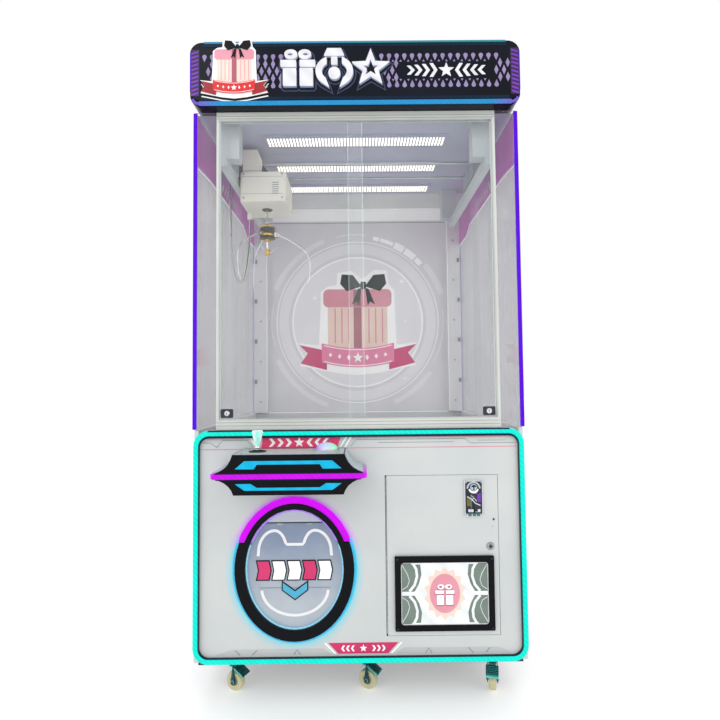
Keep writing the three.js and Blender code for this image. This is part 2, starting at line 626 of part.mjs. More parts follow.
function casterFork() {
  const { trail, cheekY, cheek, top, wheelR } = CASTER;
  const crown = 86;
  const side = new THREE.Shape();
  side.moveTo(-22, crown + 4);
  side.absarc(trail, wheelR, 10, -Math.PI * 0.8, Math.PI * 0.15, false);
  side.lineTo(26, crown + 4);
  const cheeks = [cheekY, -cheekY - cheek].map((y) => frontPlate(side, [y, y + cheek], 0, 5));
  const bridgePlate = block([-22, 26], [-cheekY - cheek, cheekY + cheek], [crown, crown + 4]);
  const race = bar("z", 24, [crown + 3, top], [0, 0, 0], 18);
  const axle = bar("y", 4, [-cheekY - cheek - 3, cheekY + cheek + 3], [trail, 0, wheelR], 8);
  return join(bridgePlate, race, ...cheeks, axle);
}

// The wheel stands on one of its flats, so its corner radius is a little more than the axle height.
function casterWheel() {
  const { wheelR, width, trail } = CASTER;
  const corner = wheelR / Math.cos(Math.PI / WHEEL_SIDES);
  const half = width / 2;
  const bore = 4.6;
  const profile = [
    [bore, -half], [12, -half], [corner - 2, -half + 2], [corner, -half + 5], [corner, half - 5],
    [corner - 2, half - 2], [12, half], [bore, half], [bore, -half]].map(([r, z]) => new THREE.Vector2(r, z));
  const wheel = new THREE.LatheGeometry(profile, WHEEL_SIDES, Math.PI / WHEEL_SIDES);
  return wheel.translate(trail, 0, wheelR);
}

function brakePedal() {
  const hinge = { x: 12, z: 76 };
  const inside = block([hinge.x, 36], [-12, 12], [hinge.z - 3, hinge.z + 1]);
  const slope = polygon([[34, hinge.z + 2], [66, 59], [68, 55], [64, 52], [62, 56], [34, hinge.z - 4]]);
  const tread = frontPlate(slope, [-20, 20], 0.6);
  return join(bar("y", 4, [-13, 13], [hinge.x, 0, hinge.z], 14), inside, tread);
}

function addCaster({ name, x, y, turn, brake }) {
  const caster = new THREE.Group();
  caster.position.set(x, y, 0);
  caster.rotation.z = radians(turn);
  machine.add(caster);
  add(`fork_${name}`, casterFork(), LOOK.steel(), caster);
  add(`wheel_${name}`, casterWheel(), LOOK.rubber(), caster);
  if (brake) add(`pedal_${name}`, brakePedal(), LOOK.steel(), caster);
}

// ---------------------------------------------------------------- assembly
const SIDES = [["left", -1], ["right", 1]];

add("base_frame", baseFrame(), LOOK.black());
for (const [word, side] of SIDES) add(`side_panel_${word}`, sidePanel(side), LOOK.white());
add("rear_panel", rearPanel(), LOOK.white());
add("front_panel", frontPanel(), LOOK.white());
add("front_lamp", frontLamp(), LOOK.cyan());
add("playfield", playfield(), LOOK.white());
add("prize_chute", prizeChute(), LOOK.white());
add("chute_guard", chuteGuard(), LOOK.pane());
add("prize_ring", prizeRing(), LOOK.black());
add("ring_lamp", ringLamp(), LOOK.magenta());
add("prize_window", prizeWindow(), LOOK.pane());
add("prize_flap", prizeFlap(), LOOK.pane());

add("console_shell", consoleShell(), LOOK.black());
add("console_deck", consoleDeck(), LOOK.steel());
add("console_lamp", consoleLamp(), LOOK.magenta());
add("joystick_gimbal", joystickGimbal(), LOOK.steel());
add("joystick_stick", joystickStick(), LOOK.cyan());
add("drop_button", dropButton(), LOOK.ivory());

add("service_door", serviceDoor(), LOOK.white());
add("coin_plate", coinPlate(), LOOK.chrome());
add("coin_button", coinButton(), LOOK.brass());
add("display_window", displayWindow(), LOOK.black());
add("door_lock", doorLock(), LOOK.chrome());

for (const [word, side] of SIDES) add(`side_glass_${word}`, sideGlass(side), LOOK.pane());
add("front_frame", frontFrame(), LOOK.white());
const innerEdge = FRAME.half - FRAME.stile - 1;
add("glass_left", slidingGlass([-innerEdge, SLIDER_OVERLAP.right], 4), LOOK.pane());
add("glass_right", slidingGlass([SLIDER_OVERLAP.left, innerEdge], 11), LOOK.pane());
add("rear_wall", rearWall(), LOOK.white());
add("roof", roof(), LOOK.white());
add("header_box", headerBox(), LOOK.black());
add("header_panel", headerPanel(), LOOK.black());

for (const [word, side] of SIDES) add(`rail_${word}`, rail(side), LOOK.steel());
add("bridge", bridge(), LOOK.steel());
add("harness", harness(), LOOK.cable());
add("trolley", trolley(), LOOK.ivory());
add("winch_drum", winchDrum(), LOOK.brass());
add("hoist_cord", hoistCord(), LOOK.cable());
add("claw_body", clawBody(), LOOK.black(), claw);
add("claw_slider", clawSlider(), LOOK.brass(), claw);
PRONG_ANGLES.forEach((angle, index) => {
  const arm = new THREE.Group();
  arm.rotation.z = radians(angle);
  claw.add(arm);
  const mesh = add(`prong_${PRONG_NAMES[index]}`, prong(), LOOK.chrome(), arm);
  mesh.position.set(CLAW.pivotR, 0, CLAW.pivotZ);
});

CASTERS.forEach(addCaster);

export default machine;
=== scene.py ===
"""Looks of the claw crane machine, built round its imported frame.

Lengths are in millimetres in the row frame (+X right, +Y rear, +Z up) until a mesh is made.
"""
import json
import math

import bmesh
import bpy
from mathutils import Matrix, Vector


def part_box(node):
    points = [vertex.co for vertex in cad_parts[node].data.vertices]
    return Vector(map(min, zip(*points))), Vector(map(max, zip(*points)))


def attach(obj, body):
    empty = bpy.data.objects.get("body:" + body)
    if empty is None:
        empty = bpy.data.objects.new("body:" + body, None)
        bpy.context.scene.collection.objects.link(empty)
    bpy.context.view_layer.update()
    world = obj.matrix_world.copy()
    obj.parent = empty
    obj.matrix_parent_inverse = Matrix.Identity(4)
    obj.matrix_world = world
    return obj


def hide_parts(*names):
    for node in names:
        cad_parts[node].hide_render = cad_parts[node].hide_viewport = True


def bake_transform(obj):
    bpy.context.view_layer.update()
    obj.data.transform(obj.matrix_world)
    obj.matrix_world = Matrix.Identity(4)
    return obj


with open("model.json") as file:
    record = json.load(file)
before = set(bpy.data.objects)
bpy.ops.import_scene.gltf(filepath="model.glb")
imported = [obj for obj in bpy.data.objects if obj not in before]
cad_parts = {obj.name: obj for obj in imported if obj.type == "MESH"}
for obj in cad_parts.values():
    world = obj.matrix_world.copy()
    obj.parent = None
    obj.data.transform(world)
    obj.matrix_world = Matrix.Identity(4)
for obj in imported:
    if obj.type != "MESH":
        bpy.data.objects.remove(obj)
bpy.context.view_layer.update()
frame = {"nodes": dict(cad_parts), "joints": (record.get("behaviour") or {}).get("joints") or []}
NODES = frame["nodes"]
PIVOT = {j["name"]: Vector(j["pos_m"]) * 1000 for j in frame["joints"] if "pos_m" in j}
MM = 0.001
MICRON = 1e-6
SIDES = (("left", -1), ("right", 1))


class Box:
    """A CAD node's box at rest."""

    def __init__(self, node):
        low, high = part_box(node)
        self.left, self.front, self.low = (value / MM for value in low)
        self.right, self.rear, self.high = (value / MM for value in high)
        self.x, self.y, self.z = ((value / MM) for value in (low + high) / 2)
        self.size = (high - low) / MM


# ---- colours and materials
def colour(code):
    """A linear colour from a hex code."""
    channels = [int(code[i:i + 2], 16) / 255 for i in (1, 3, 5)]
    return [c / 12.92 if c < 0.04045 else ((c + 0.055) / 1.055) ** 2.4 for c in channels] + [1.0]


class Shader:
    """A procedural material. Constants go on the surface's own sockets, patterns come from nodes."""

    def __init__(self, name, **constants):
        self.material = bpy.data.materials.new(name)
        self.material.use_nodes = True
        self.tree = self.material.node_tree
        self.surface = self.tree.nodes["Principled BSDF"]
        for key, value in constants.items():
            self.surface.inputs[key.replace("_", " ")].default_value = value

    def add(self, kind, inputs=(), **settings):
        node = self.tree.nodes.new("ShaderNode" + kind)
        for key, value in settings.items():
            setattr(node, key, value)
        for key, value in dict(inputs).items():
            self.feed(node.inputs[key], value)
        return node

    def feed(self, socket, value):
        if isinstance(value, bpy.types.NodeSocket):
            self.tree.links.new(value, socket)
        else:
            socket.default_value = value

    def set(self, key, value):
        self.feed(self.surface.inputs[key], value)

    def place(self, stretch=(1, 1, 1), turn=(0, 0, 0)):
        """Where a point is on the piece, in metres, stretched and turned."""
        points = self.add("TexCoord").outputs["Object"]
        return self.add("Mapping", {"Vector": points, "Scale": stretch, "Rotation": turn}).outputs[0]

    def axes(self):
        points = self.add("TexCoord").outputs["Object"]
        return self.add("SeparateXYZ", {"Vector": points}).outputs

    def noise(self, scale, detail=3.0, stretch=(1, 1, 1)):
        inputs = {"Vector": self.place(stretch), "Scale": scale, "Detail": detail}
        return self.add("TexNoise", inputs).outputs["Fac"]

    def math(self, operation, a, b=0.0):
        return self.add("Math", {0: a, 1: b}, operation=operation).outputs[0]

    def remap(self, value, low, high, start=0.3, end=0.7):
        inputs = {"Value": value, "From Min": start, "From Max": end, "To Min": low, "To Max": high}
        return self.add("MapRange", inputs).outputs[0]

    def blend(self, share, first, second):
        mix = self.add("Mix", data_type="RGBA")
        self.feed(mix.inputs["Factor"], share)
        for socket, value in zip([s for s in mix.inputs if s.type == "RGBA"], (first, second)):
            self.feed(socket, value)
        return [s for s in mix.outputs if s.type == "RGBA"][0]

    def bump(self, height, distance, strength=1.0):
        inputs = {"Height": height, "Distance": distance, "Strength": strength}
        self.set("Normal", self.add("Bump", inputs).outputs[0])


def finish(name, light, dark, rough, grain, depth, stretch=(1, 1, 1), patch=6.0, **constants):
    """A surface with slow colour patches, a fine grain in its relief and uneven gloss.

    light and dark are hex codes, rough is (glossiest, dullest), grain is in cells a metre and
    depth is the relief in metres.
    """
    shade = Shader(name, **constants)
    slow = shade.noise(patch, 4)
    fine = shade.noise(grain, 2, stretch)
    mixed = shade.math("ADD", shade.math("MULTIPLY", slow, 0.7), shade.math("MULTIPLY", fine, 0.3))
    shade.set("Base Color", shade.blend(shade.remap(mixed, 0, 1), colour(light), colour(dark)))
    shade.set("Roughness", shade.remap(mixed, rough[0], rough[1]))
    shade.bump(fine, depth)
    return shade


def lamp(name, code, strength, pitch=0.0167):
    """A milky diffuser over a row of LEDs, a little brighter over each one."""
    deep = [channel * 0.12 for channel in colour(code)[:3]] + [1.0]
    shade = Shader(name, Roughness=0.5, Base_Color=deep, Specular_IOR_Level=0.1)
    x, y, z = shade.axes()[:3]
    along = shade.math("ADD", shade.math("ADD", x, y), z)
    ripple = shade.math("SINE", shade.math("MULTIPLY", along, 2 * math.pi / pitch))
    level = shade.math("ADD", shade.math("MULTIPLY", ripple, 0.06), shade.remap(shade.noise(30), 0.9, 1.0))
    shade.set("Emission Color", colour(code))
    shade.set("Emission Strength", shade.math("MULTIPLY", level, strength))
    return shade


def pane(name, code, centre, edge, rough=(0.02, 0.06), **constants):
    """Clear sheet: it lets more be seen straight on than at a glance, with faint smears."""
    shade = Shader(name, Base_Color=colour(code), IOR=1.5, **constants)
    glance = shade.add("LayerWeight", {"Blend": 0.35}).outputs["Facing"]
    smear = shade.noise(9, 5, (1, 1, 0.25))
    body = shade.math("ADD", shade.remap(glance, centre, edge, 0, 1), shade.remap(smear, 0, 0.025))
    shade.set("Alpha", body)
    shade.set("Roughness", shade.remap(smear, rough[0], rough[1]))
    return shade


def sheet_finish():
    """Front sheet: satin light grey, with a painted glow of the prize ring's lamp on it, magenta above the
    ring and cyan below.
    """
    shade = finish("front_sheet_satin", "#CBCFCD", "#C2C6C6", (0.34, 0.46), 900, 0.00003)
    x, _, z = shade.axes()[:3]
    ring = Box("prize_ring")
    across = shade.math("DIVIDE", shade.math("SUBTRACT", x, ring.x * MM), ring.size.x / 2 * MM)
    upward = shade.math("DIVIDE", shade.math("SUBTRACT", z, ring.z * MM), ring.size.z / 2 * MM)
    reach = shade.math("SQRT", shade.math("ADD", shade.math("POWER", shade.math("ABSOLUTE", across), 2),
                                          shade.math("POWER", shade.math("ABSOLUTE", upward), 2)))
    # Painted lamp glow: near the prize ring the sheet's colour runs towards magenta above and cyan below.
    near = shade.remap(shade.remap(reach, 1, 0, 0.99, 1.2), 0, 0.85, 0.15, 1)
    painted_glow_tint = shade.blend(shade.remap(upward, 0, 1, 0.25, 0.5), colour("#58D8EA"), colour("#E070FF"))
    base = shade.surface.inputs["Base Color"].links[0].from_socket
    shade.set("Base Color", shade.blend(near, base, painted_glow_tint))
    return shade


def band_light():
    """Console band lamp: magenta at the nose, dying away towards the cabinet."""
    shade = lamp("band_lamp_light", "#E010FF", 0.92)
    nose = Box("console_lamp").front * MM
    near = shade.remap(shade.axes()[1], 1.0, 0.22, nose + 0.012, nose + 0.12)
    level = shade.surface.inputs["Emission Strength"].links[0].from_socket
    shade.set("Emission Strength", shade.math("MULTIPLY", level, near))
    shade.set("Base Color", shade.blend(near, colour("#B9AFC8"), colour("#200424")))
    return shade


def flap_acrylic():
    """Prize flap: frosted blue-grey sheet, paler below its crease."""
    shade = pane("flap_acrylic", "#A9B6C2", 0.86, 0.94, (0.12, 0.24))
    height = shade.remap(shade.axes()[2], 0, 1, 0.30, 0.52)
    patches = shade.remap(shade.noise(14), -0.12, 0.12)
    shade.set("Base Color",
        shade.blend(shade.math("ADD", height, patches), colour("#BCC4CC"), colour("#8494AE")))
    return shade


def side_glass():
    """Side glasses: clear head-on, and greyed by upright streaks of reflection at a glance."""
    shade = Shader("side_glass_sheet", IOR=1.5)
    glance = shade.add("LayerWeight", {"Blend": 0.3}).outputs["Facing"]
    streak = shade.noise(7, 3, (1, 1, 0.08))
    body = shade.math("ADD", shade.remap(glance, 0.08, 0.72, 0.1, 0.7), shade.remap(streak, -0.04, 0.06))
    shade.set("Alpha", body)
    shade.set("Base Color", shade.blend(shade.remap(streak, 0, 1), colour("#A3A2AA"), colour("#CFCFD4")))
    shade.set("Roughness", shade.remap(streak, 0.03, 0.09))
    return shade


def two_tone_lamp(name, code, strength, axis, start, end, first, second, both_ways=False):
    """A lamp whose colour runs from one to another along an axis, or outwards from the middle."""
    shade = lamp(name, code, strength)
    place = shade.axes()[axis]
    if both_ways:
        place = shade.math("ABSOLUTE", place)
    shade.set("Emission Color",
        shade.blend(shade.remap(place, 0, 1, start, end), colour(first), colour(second)))
    return shade


def ring_lamp_light():
    """Ring lamp: magenta above the ring's step, cyan below it."""
    step, blur = (Box("prize_ring").z + 85) * MM + 0.0075, 0.001
    return two_tone_lamp("ring_lamp_light", "#D808FF", 0.92, 2, step - blur, step + blur, "#10C4E4",
        "#DC08FF")


def header_strip_light():
    """Lower sign lamp: sky blue, running to violet at its two ends."""
    return two_tone_lamp("sign_lamp_light", "#2FA8E0", 0.8, 0, 0.43, 0.51, "#2F9CDC", "#8A4CE0", True)


def top_line_light():
    """Upper sign lamp: light blue on the left, teal on the right."""
    return two_tone_lamp("top_line_light", "#58B4DC", 0.55, 0, -0.2, 0.35, "#62B4DE", "#2DB6B4")


def button_dome():
    """Drop button: three LED colours blurred together under a ribbed clear dome."""
    shade = Shader("button_dome", Roughness=0.18, Coat_Weight=0.6)
    button = Box("drop_button")
    shift = shade.math("SUBTRACT", shade.axes()[0], button.left * MM)
    share = shade.math("DIVIDE", shift, button.size.x * MM)
    ramp = shade.add("ValToRGB", {"Fac": share})
    stops = ramp.color_ramp.elements
    stops[0].color, stops[1].color = colour("#B060F0"), colour("#8AE8A0")
    stops.new(0.45).color = colour("#C6C6E4")
    shade.set("Base Color", ramp.outputs[0])
    shade.set("Emission Color", ramp.outputs[0])
    shade.set("Emission Strength", shade.remap(shade.noise(120), 0.12, 0.34))
    shade.bump(shade.noise(500), 0.0001)
    return shade


def crystal():
    """Joystick knob: clear teal crystal, with a painted sheen that whitens it towards its edges, given off
    again as a faint painted glow.
    """
    shade = Shader("knob_crystal", Roughness=0.06, Coat_Weight=0.5, Emission_Strength=0.25)
    # Painted sheen and glow: the colour whitens at a glance and the same colour is emitted faintly.
    glance = shade.add("LayerWeight", {"Blend": 0.4}).outputs["Facing"]
    veins = shade.remap(shade.noise(90, 4), 0, 0.5)
    body = shade.blend(shade.math("ADD", glance, veins), colour("#4FD8C0"), colour("#EDF6F4"))
    shade.set("Base Color", body)
    shade.set("Emission Color", body)
    return shade


# Finishes: name, light and dark colour, glossiest, dullest, grain in cells a metre, relief in micrometres.
FINISHES = {
    "board": ("laminate_white", "#D0D3D3", "#C8CBCC", 0.3, 0.48, 1100, 40),
    "white": ("powder_white", "#DADCDB", "#CBCECE", 0.36, 0.5, 900, 30),
    "ceiling": ("ceiling_sheet", "#B9BACE", "#AEAFC5", 0.32, 0.5, 700, 30),
    "wall": ("wall_print", "#E2E1E3", "#D8D7DB", 0.4, 0.55, 800, 20),
    "plywood": ("base_ply", "#3B3C40", "#2A2B2E", 0.55, 0.75, 300, 200, (1, 0.1, 1)),
    "black": ("black_moulded", "#020408", "#070A10", 0.25, 0.4, 1200, 40),
    "sign": ("sign_acrylic", "#060911", "#0D1421", 0.12, 0.22, 500, 10),
    "deck": ("deck_silver", "#C3CDD6", "#AEB9C4", 0.22, 0.34, 900, 20, (1, 8, 1)),
    "ivory": ("abs_ivory", "#E9E6DB", "#DCD8CB", 0.38, 0.52, 1500, 50),
    "drum": ("drum_nylon", "#D9D9D2", "#C4C4BC", 0.4, 0.55, 900, 40),
    "alloy": ("frame_enamel", "#D2D4CE", "#C2C6C0", 0.3, 0.42, 900, 20),
    "rail": ("rail_enamel", "#C4CACB", "#B2B9BC", 0.3, 0.42, 900, 20),
    "coil": ("coil_enamel", "#1A1612", "#0B0A0A", 0.25, 0.4, 900, 40, (1, 1, 4)),
    "cable": ("cable_jacket", "#A9A8A2", "#83827C", 0.5, 0.68, 700, 80),
    "cable_white": ("cable_white", "#E6E6E2", "#CFCFCA", 0.45, 0.6, 700, 50),
    "cable_black": ("cable_black", "#1D1E20", "#2A2B2D", 0.45, 0.6, 700, 50),
    "cord": ("hoist_braid", "#D8C9A4", "#9C8B66", 0.6, 0.8, 1600, 200, (1, 1, 0.5)),
    "wheel": ("wheel_tread", "#DCD6B2", "#B9B186", 0.45, 0.62, 420, 120),
    "hub": ("wheel_hub", "#8E8F84", "#6E7068", 0.4, 0.55, 500, 60),
    "chute": ("chute_sheet", "#C7CACB", "#B5B9BC", 0.32, 0.5, 700, 40),
    "playfield": ("playfield_felt", "#E3E2E4", "#D3D2D8", 0.55, 0.75, 1400, 100),
    "rubber": ("seal_rubber", "#17181B", "#232428", 0.55, 0.72, 800, 80),
    "navy": ("sign_navy", "#08263C", "#0A1A2E", 0.16, 0.28, 500, 10),
    "pink": ("print_pink", "#EE4678", "#DC3568", 0.32, 0.45, 900, 10),
    "pink_line": ("print_pink_line", "#DC8EA2", "#CE7890", 0.35, 0.5, 900, 10),
    "rose": ("print_rose", "#E4A0AE", "#D88698", 0.35, 0.5, 700, 10),
    "rose_dark": ("print_rose_dark", "#B4586E", "#9E485E", 0.35, 0.5, 700, 10),
    "banner_pink": ("banner_pink", "#F08CB0", "#E67AA2", 0.35, 0.5, 700, 10),
    "banner_deep": ("banner_deep", "#D8487E", "#C83A70", 0.35, 0.5, 700, 10),
    "cream": ("print_cream", "#F4DCCF", "#EBCBBC", 0.35, 0.5, 600, 10),
    "red": ("print_red", "#E0161E", "#C20E18", 0.26, 0.4, 700, 10),
    "red_dark": ("print_red_dark", "#A50E1A", "#860A14", 0.3, 0.45, 700, 10),
    "ink": ("print_ink", "#16171D", "#0E0F15", 0.35, 0.5, 700, 10),
    "grey_line": ("print_grey", "#8C9294", "#7E8487", 0.4, 0.55, 900, 10),
    "pale_line": ("print_pale", "#BFC2C1", "#B4B8B8", 0.4, 0.55, 900, 10),
    "print_white": ("print_white", "#F6F6F4", "#ECECEC", 0.35, 0.5, 900, 10),
    "print_soft": ("print_soft", "#EDECEE", "#E6E5E8", 0.4, 0.55, 900, 10),
    "magenta_print": ("print_magenta", "#D8286C", "#C01C5C", 0.32, 0.45, 900, 10),
    "teal_dark": ("print_teal_dark", "#2E7F7C", "#1D5F60", 0.2, 0.4, 500, 10),
    "teal_print": ("print_teal", "#4FB4D4", "#3FA0C2", 0.32, 0.45, 900, 10),
    "violet": ("print_violet", "#6E2AA6", "#571C8C", 0.3, 0.42, 500, 10),
    "violet_dark": ("print_violet_dark", "#2A0A48", "#1E0636", 0.3, 0.42, 500, 10),
    "glass_edge": ("glass_edge", "#E6F2EE", "#CFE2DC", 0.15, 0.3, 400, 20),
    # sign_side is a painted shade for the sides of the sign's raised icons.
    "sign_side": ("sign_side_shade", "#8F98B4", "#6D7694", 0.3, 0.45, 600, 10),
}
METALS = {
    "zinc": ("zinc_plate", "#B9BDC2", "#8E9499", 0.26, 0.42, 260, 30),
    "chrome": ("chrome_plate", "#E2E3E6", "#C7CACE", 0.05, 0.14, 200, 20),
    "brushed": ("brushed_rail", "#C3C6C9", "#A4A8AD", 0.24, 0.4, 500, 30, (1, 0.03, 1)),
    "steel_dark": ("blued_steel", "#4A4E55", "#2F3237", 0.3, 0.45, 300, 20),
    "steel_teal": ("steel_teal", "#35686C", "#1F4246", 0.2, 0.38, 260, 30),
    "zinc_teal": ("zinc_teal", "#7FD8D2", "#4FA8A6", 0.16, 0.32, 240, 30),
    "olive": ("olive_plate", "#8C8650", "#57522F", 0.2, 0.36, 260, 20),
    "brass": ("brass_lacquer", "#D9AE4E", "#A97F2C", 0.18, 0.34, 300, 20),
    "gold": ("gold_anodised", "#E0B850", "#B68A30", 0.2, 0.32, 350, 20),
}
# Lamps: name, colour, strength and the pitch of the LEDs behind in metres.
LAMPS = {
    "cyan_lamp": ("edge_lamp_light", "#14F0DC", 0.98),
    "cyan_rim": ("ring_rim_light", "#2CD6EE", 0.95, 0.05),
    "purple_lamp": ("corner_lamp_light", "#5A08DC", 1.0), "lilac_lamp": ("lilac_light", "#B48CF4", 0.9),
    "ice_lamp": ("ice_light", "#9AD8F4", 0.9), "inlay": ("inlay_light", "#16BDEC", 0.95, 0.05),
    "chip": ("led_chip_light", "#FFF8E6", 2.2, 0.004),
    "sign_white": ("sign_white_light", "#F4F4FA", 0.92, 0.06),
    "lattice": ("lattice_light", "#B6A4D6", 0.66, 0.09),
    "sign_glow": ("sign_glow_light", "#5A6488", 0.5, 0.08),
    "screen": ("screen_light", "#90A096", 0.66, 0.11),
    "screen_line": ("screen_line_light", "#F2F6F8", 1.0, 0.07),
}
# Finishes whose own specular level is low, and those given a little painted glow though they are no lamps:
# colour and strength.
DULL = {"black": 0.12, "sign": 0.14, "navy": 0.15, "ink": 0.15}
PAINTED_GLOW = {"print_white": ("#FFFFFF", 0.1), "violet": ("#6A22A8", 0.25), "glass_edge": ("#E8F4F2", 0.15)}


def make_looks():
    looks = {}
    for key, (name, light, dark, glossy, dull, grain, relief, *stretch) in FINISHES.items():
        constants = {"Specular_IOR_Level": DULL[key]} if key in DULL else {}
        if key in PAINTED_GLOW:
            constants = {"Emission_Color": colour(PAINTED_GLOW[key][0]), "Emission_Strength": PAINTED_GLOW[key][1]}
        looks[key] = finish(name, light, dark, (glossy, dull), grain, relief * MICRON, *stretch, **constants)
    for key, (name, light, dark, glossy, dull, grain, relief, *stretch) in METALS.items():
        looks[key] = finish(name, light, dark, (glossy, dull), grain, relief * MICRON, *stretch, patch=14,
            Metallic=1.0)
    looks.update({key: lamp(*row) for key, row in LAMPS.items()})
    looks["magenta_film"] = pane("side_film", "#D45CCB", 0.7, 0.85)
    looks["glass"] = pane("case_glass_clear", "#D9E6E4", 0.02, 0.35, Specular_IOR_Level=0.2)
    looks["acrylic"] = pane("acrylic_clear", "#DFE6EA", 0.16, 0.4)
    looks["window"] = pane("window_acrylic", "#C9D0DA", 0.78, 0.9, (0.1, 0.2))
    looks.update({"sheet": sheet_finish(), "side_glass": side_glass(), "flap": flap_acrylic(),
        "magenta_lamp": band_light(), "ring_light": ring_lamp_light(), "strip_light": header_strip_light(),
        "top_light": top_line_light(), "button": button_dome(), "crystal": crystal()})
    return {key: shade.material for key, shade in looks.items()}


LOOK = make_looks()


# ---- shape helpers
def arc(x, z, rx, rz, start, end, steps=12):
    """Points along an ellipse's arc, from start to end in degrees, anticlockwise from +X."""
    angles = [math.radians(start + (end - start) * i / steps) for i in range(steps + 1)]
    return [(x + rx * math.cos(a), z + rz * math.sin(a)) for a in angles]


def ellipse(x, z, rx, rz=None, steps=64):
    return arc(x, z, rx, rx if rz is None else rz, 0, 360, steps)[:-1]


def rect(x0, x1, z0, z1, corner=0.0, steps=6):
    if not corner:
        return [(x0, z0), (x1, z0), (x1, z1), (x0, z1)]
    r = corner
    return (arc(x1 - r, z0 + r, r, r, -90, 0, steps) + arc(x1 - r, z1 - r, r, r, 0, 90, steps)
            + arc(x0 + r, z1 - r, r, r, 90, 180, steps) + arc(x0 + r, z0 + r, r, r, 180, 270, steps))


def mirrored(loop, x=0.0):
    return [(2 * x - u, v) for u, v in reversed(loop)]


def shifted(loop, du, dv=0.0):
    return [(u + du, v + dv) for u, v in loop]


def grown(loop, margin):
    """The outline with each side moved outwards by margin."""
    area = sum(a[0] * b[1] - b[0] * a[1] for a, b in zip(loop, loop[1:] + loop[:1]))
    sign = 1 if area > 0 else -1
    result = []
    for i, here in enumerate(loop):
        before, after = Vector(loop[i - 1]), Vector(loop[(i + 1) % len(loop)])
        point = Vector(here)
        first, second = (point - before).normalized(), (after - point).normalized()
        side = [Vector((d.y, -d.x)) * sign for d in (first, second)]
        half = side[0] + side[1]
        if half.length < 1e-6:
            half = side[0]
        half.normalize()
        reach = margin / max(half.dot(side[0]), 0.5)
        result.append(tuple(point + half * reach))
    return result


def band(points, width):
    """A flat strip that follows an open line of points."""
    left, right = [], []
    for i, here in enumerate(points):
        before = Vector(points[max(i - 1, 0)])
        after = Vector(points[min(i + 1, len(points) - 1)])
        along = (after - before).normalized()
        side = Vector((-along.y, along.x)) * width / 2
        left.append(tuple(Vector(here) + side))
        right.append(tuple(Vector(here) - side))
    return left + right[::-1]


def star(x, z, outer, inner, points=5):
    steps = [(outer if i % 2 == 0 else inner, math.pi / 2 + i * math.pi / points) for i in range(2 * points)]
    return [(x + r * math.cos(a), z + r * math.sin(a)) for r, a in steps]


def smooth_path(points, steps=8):
    """A curve through the given points."""
    ends = [Vector(p) for p in points]
    ends = [2 * ends[0] - ends[1]] + ends + [2 * ends[-1] - ends[-2]]
    path = []
    for a, b, c, d in zip(ends, ends[1:], ends[2:], ends[3:]):
        for i in range(steps):
            t = i / steps
            path.append(0.5 * (2 * b + (c - a) * t + (2 * a - 5 * b + 4 * c - d) * t ** 2
                               + (3 * b - a - 3 * c + d) * t ** 3))
    return path + [ends[-2]]


PLACE = {
    "front": lambda u, v, w: (u, -w, v),
    "rear": lambda u, v, w: (u, w, v),
    "top": lambda u, v, w: (u, v, w),
    "bottom": lambda u, v, w: (u, v, -w),
    "right": lambda u, v, w: (w, u, v),
    "left": lambda u, v, w: (-w, u, v),
}
OUTWARD = {"front": -1, "rear": 1, "top": 1, "bottom": -1, "right": 1, "left": -1}


def plate(loops, side, base, thick):
    """Outlines, with inner ones as holes, raised by thick from the plane at base towards side."""
    shape = bmesh.new()
    place, sign = PLACE[side], OUTWARD[side]
    for loop in loops:
        corners = [shape.verts.new(Vector(place(u, v, base * sign)) * MM) for u, v in loop]
        for a, b in zip(corners, corners[1:] + corners[:1]):
            shape.edges.new((a, b))
    bmesh.ops.triangle_fill(shape, use_beauty=True, use_dissolve=False, edges=shape.edges[:])
    raised = bmesh.ops.extrude_face_region(shape, geom=shape.faces[:])["geom"]
    step = Vector(place(0, 0, thick)) * MM
    bmesh.ops.translate(shape, vec=step, verts=[v for v in raised if isinstance(v, bmesh.types.BMVert)])
    bmesh.ops.dissolve_limit(shape, angle_limit=0.01, verts=shape.verts[:], edges=shape.edges[:])
    return closed_mesh(shape)


def to_mesh(shape):
    mesh = bpy.data.meshes.new("shape")
    shape.to_mesh(mesh)
    shape.free()
    return mesh


def circle(centre, radius, count, start=0.0):
    """Points on a level circle, start steps round from +X."""
    x, y, z = centre
    angles = [2 * math.pi * (i + start) / count for i in range(count)]
    return [(x + radius * math.cos(a), y + radius * math.sin(a), z) for a in angles]


def skin(shape, rings):
    """Faces between each ring of points and the next; a ring of one point makes a cone."""
    for first, second in zip(rings, rings[1:]):
        steps = max(len(first), len(second))
        for i in range(steps):
            k = (i + 1) % steps
            corners = [ring[j % len(ring)] for ring, j in ((first, i), (first, k), (second, k), (second, i))]
            corners = list(dict.fromkeys(corners))
            if len(corners) > 2:
                shape.faces.new(corners)


def closed_mesh(shape):
    bmesh.ops.recalc_face_normals(shape, faces=shape.faces[:])
    return to_mesh(shape)


def turned(profile, centre, axis=(0, 0, 1), steps=40):
    """A profile of (radius, height) turned about an axis through centre."""
    shape = bmesh.new()
    basis = Vector(axis).normalized().to_track_quat("Z", "Y").to_matrix()
    closed = profile[0] == profile[-1]
    rings = []
    for r, h in profile[1:] if closed else profile:
        ring = circle((0, 0, h), r, steps) if r else [(0, 0, h)]
        rings.append([shape.verts.new((Vector(centre) + basis @ Vector(point)) * MM) for point in ring])
    skin(shape, rings + rings[:1] if closed else rings)
    for ring in (rings[0], rings[-1]):
        if len(ring) > 1 and not closed:
            shape.faces.new(ring)
    return closed_mesh(shape)


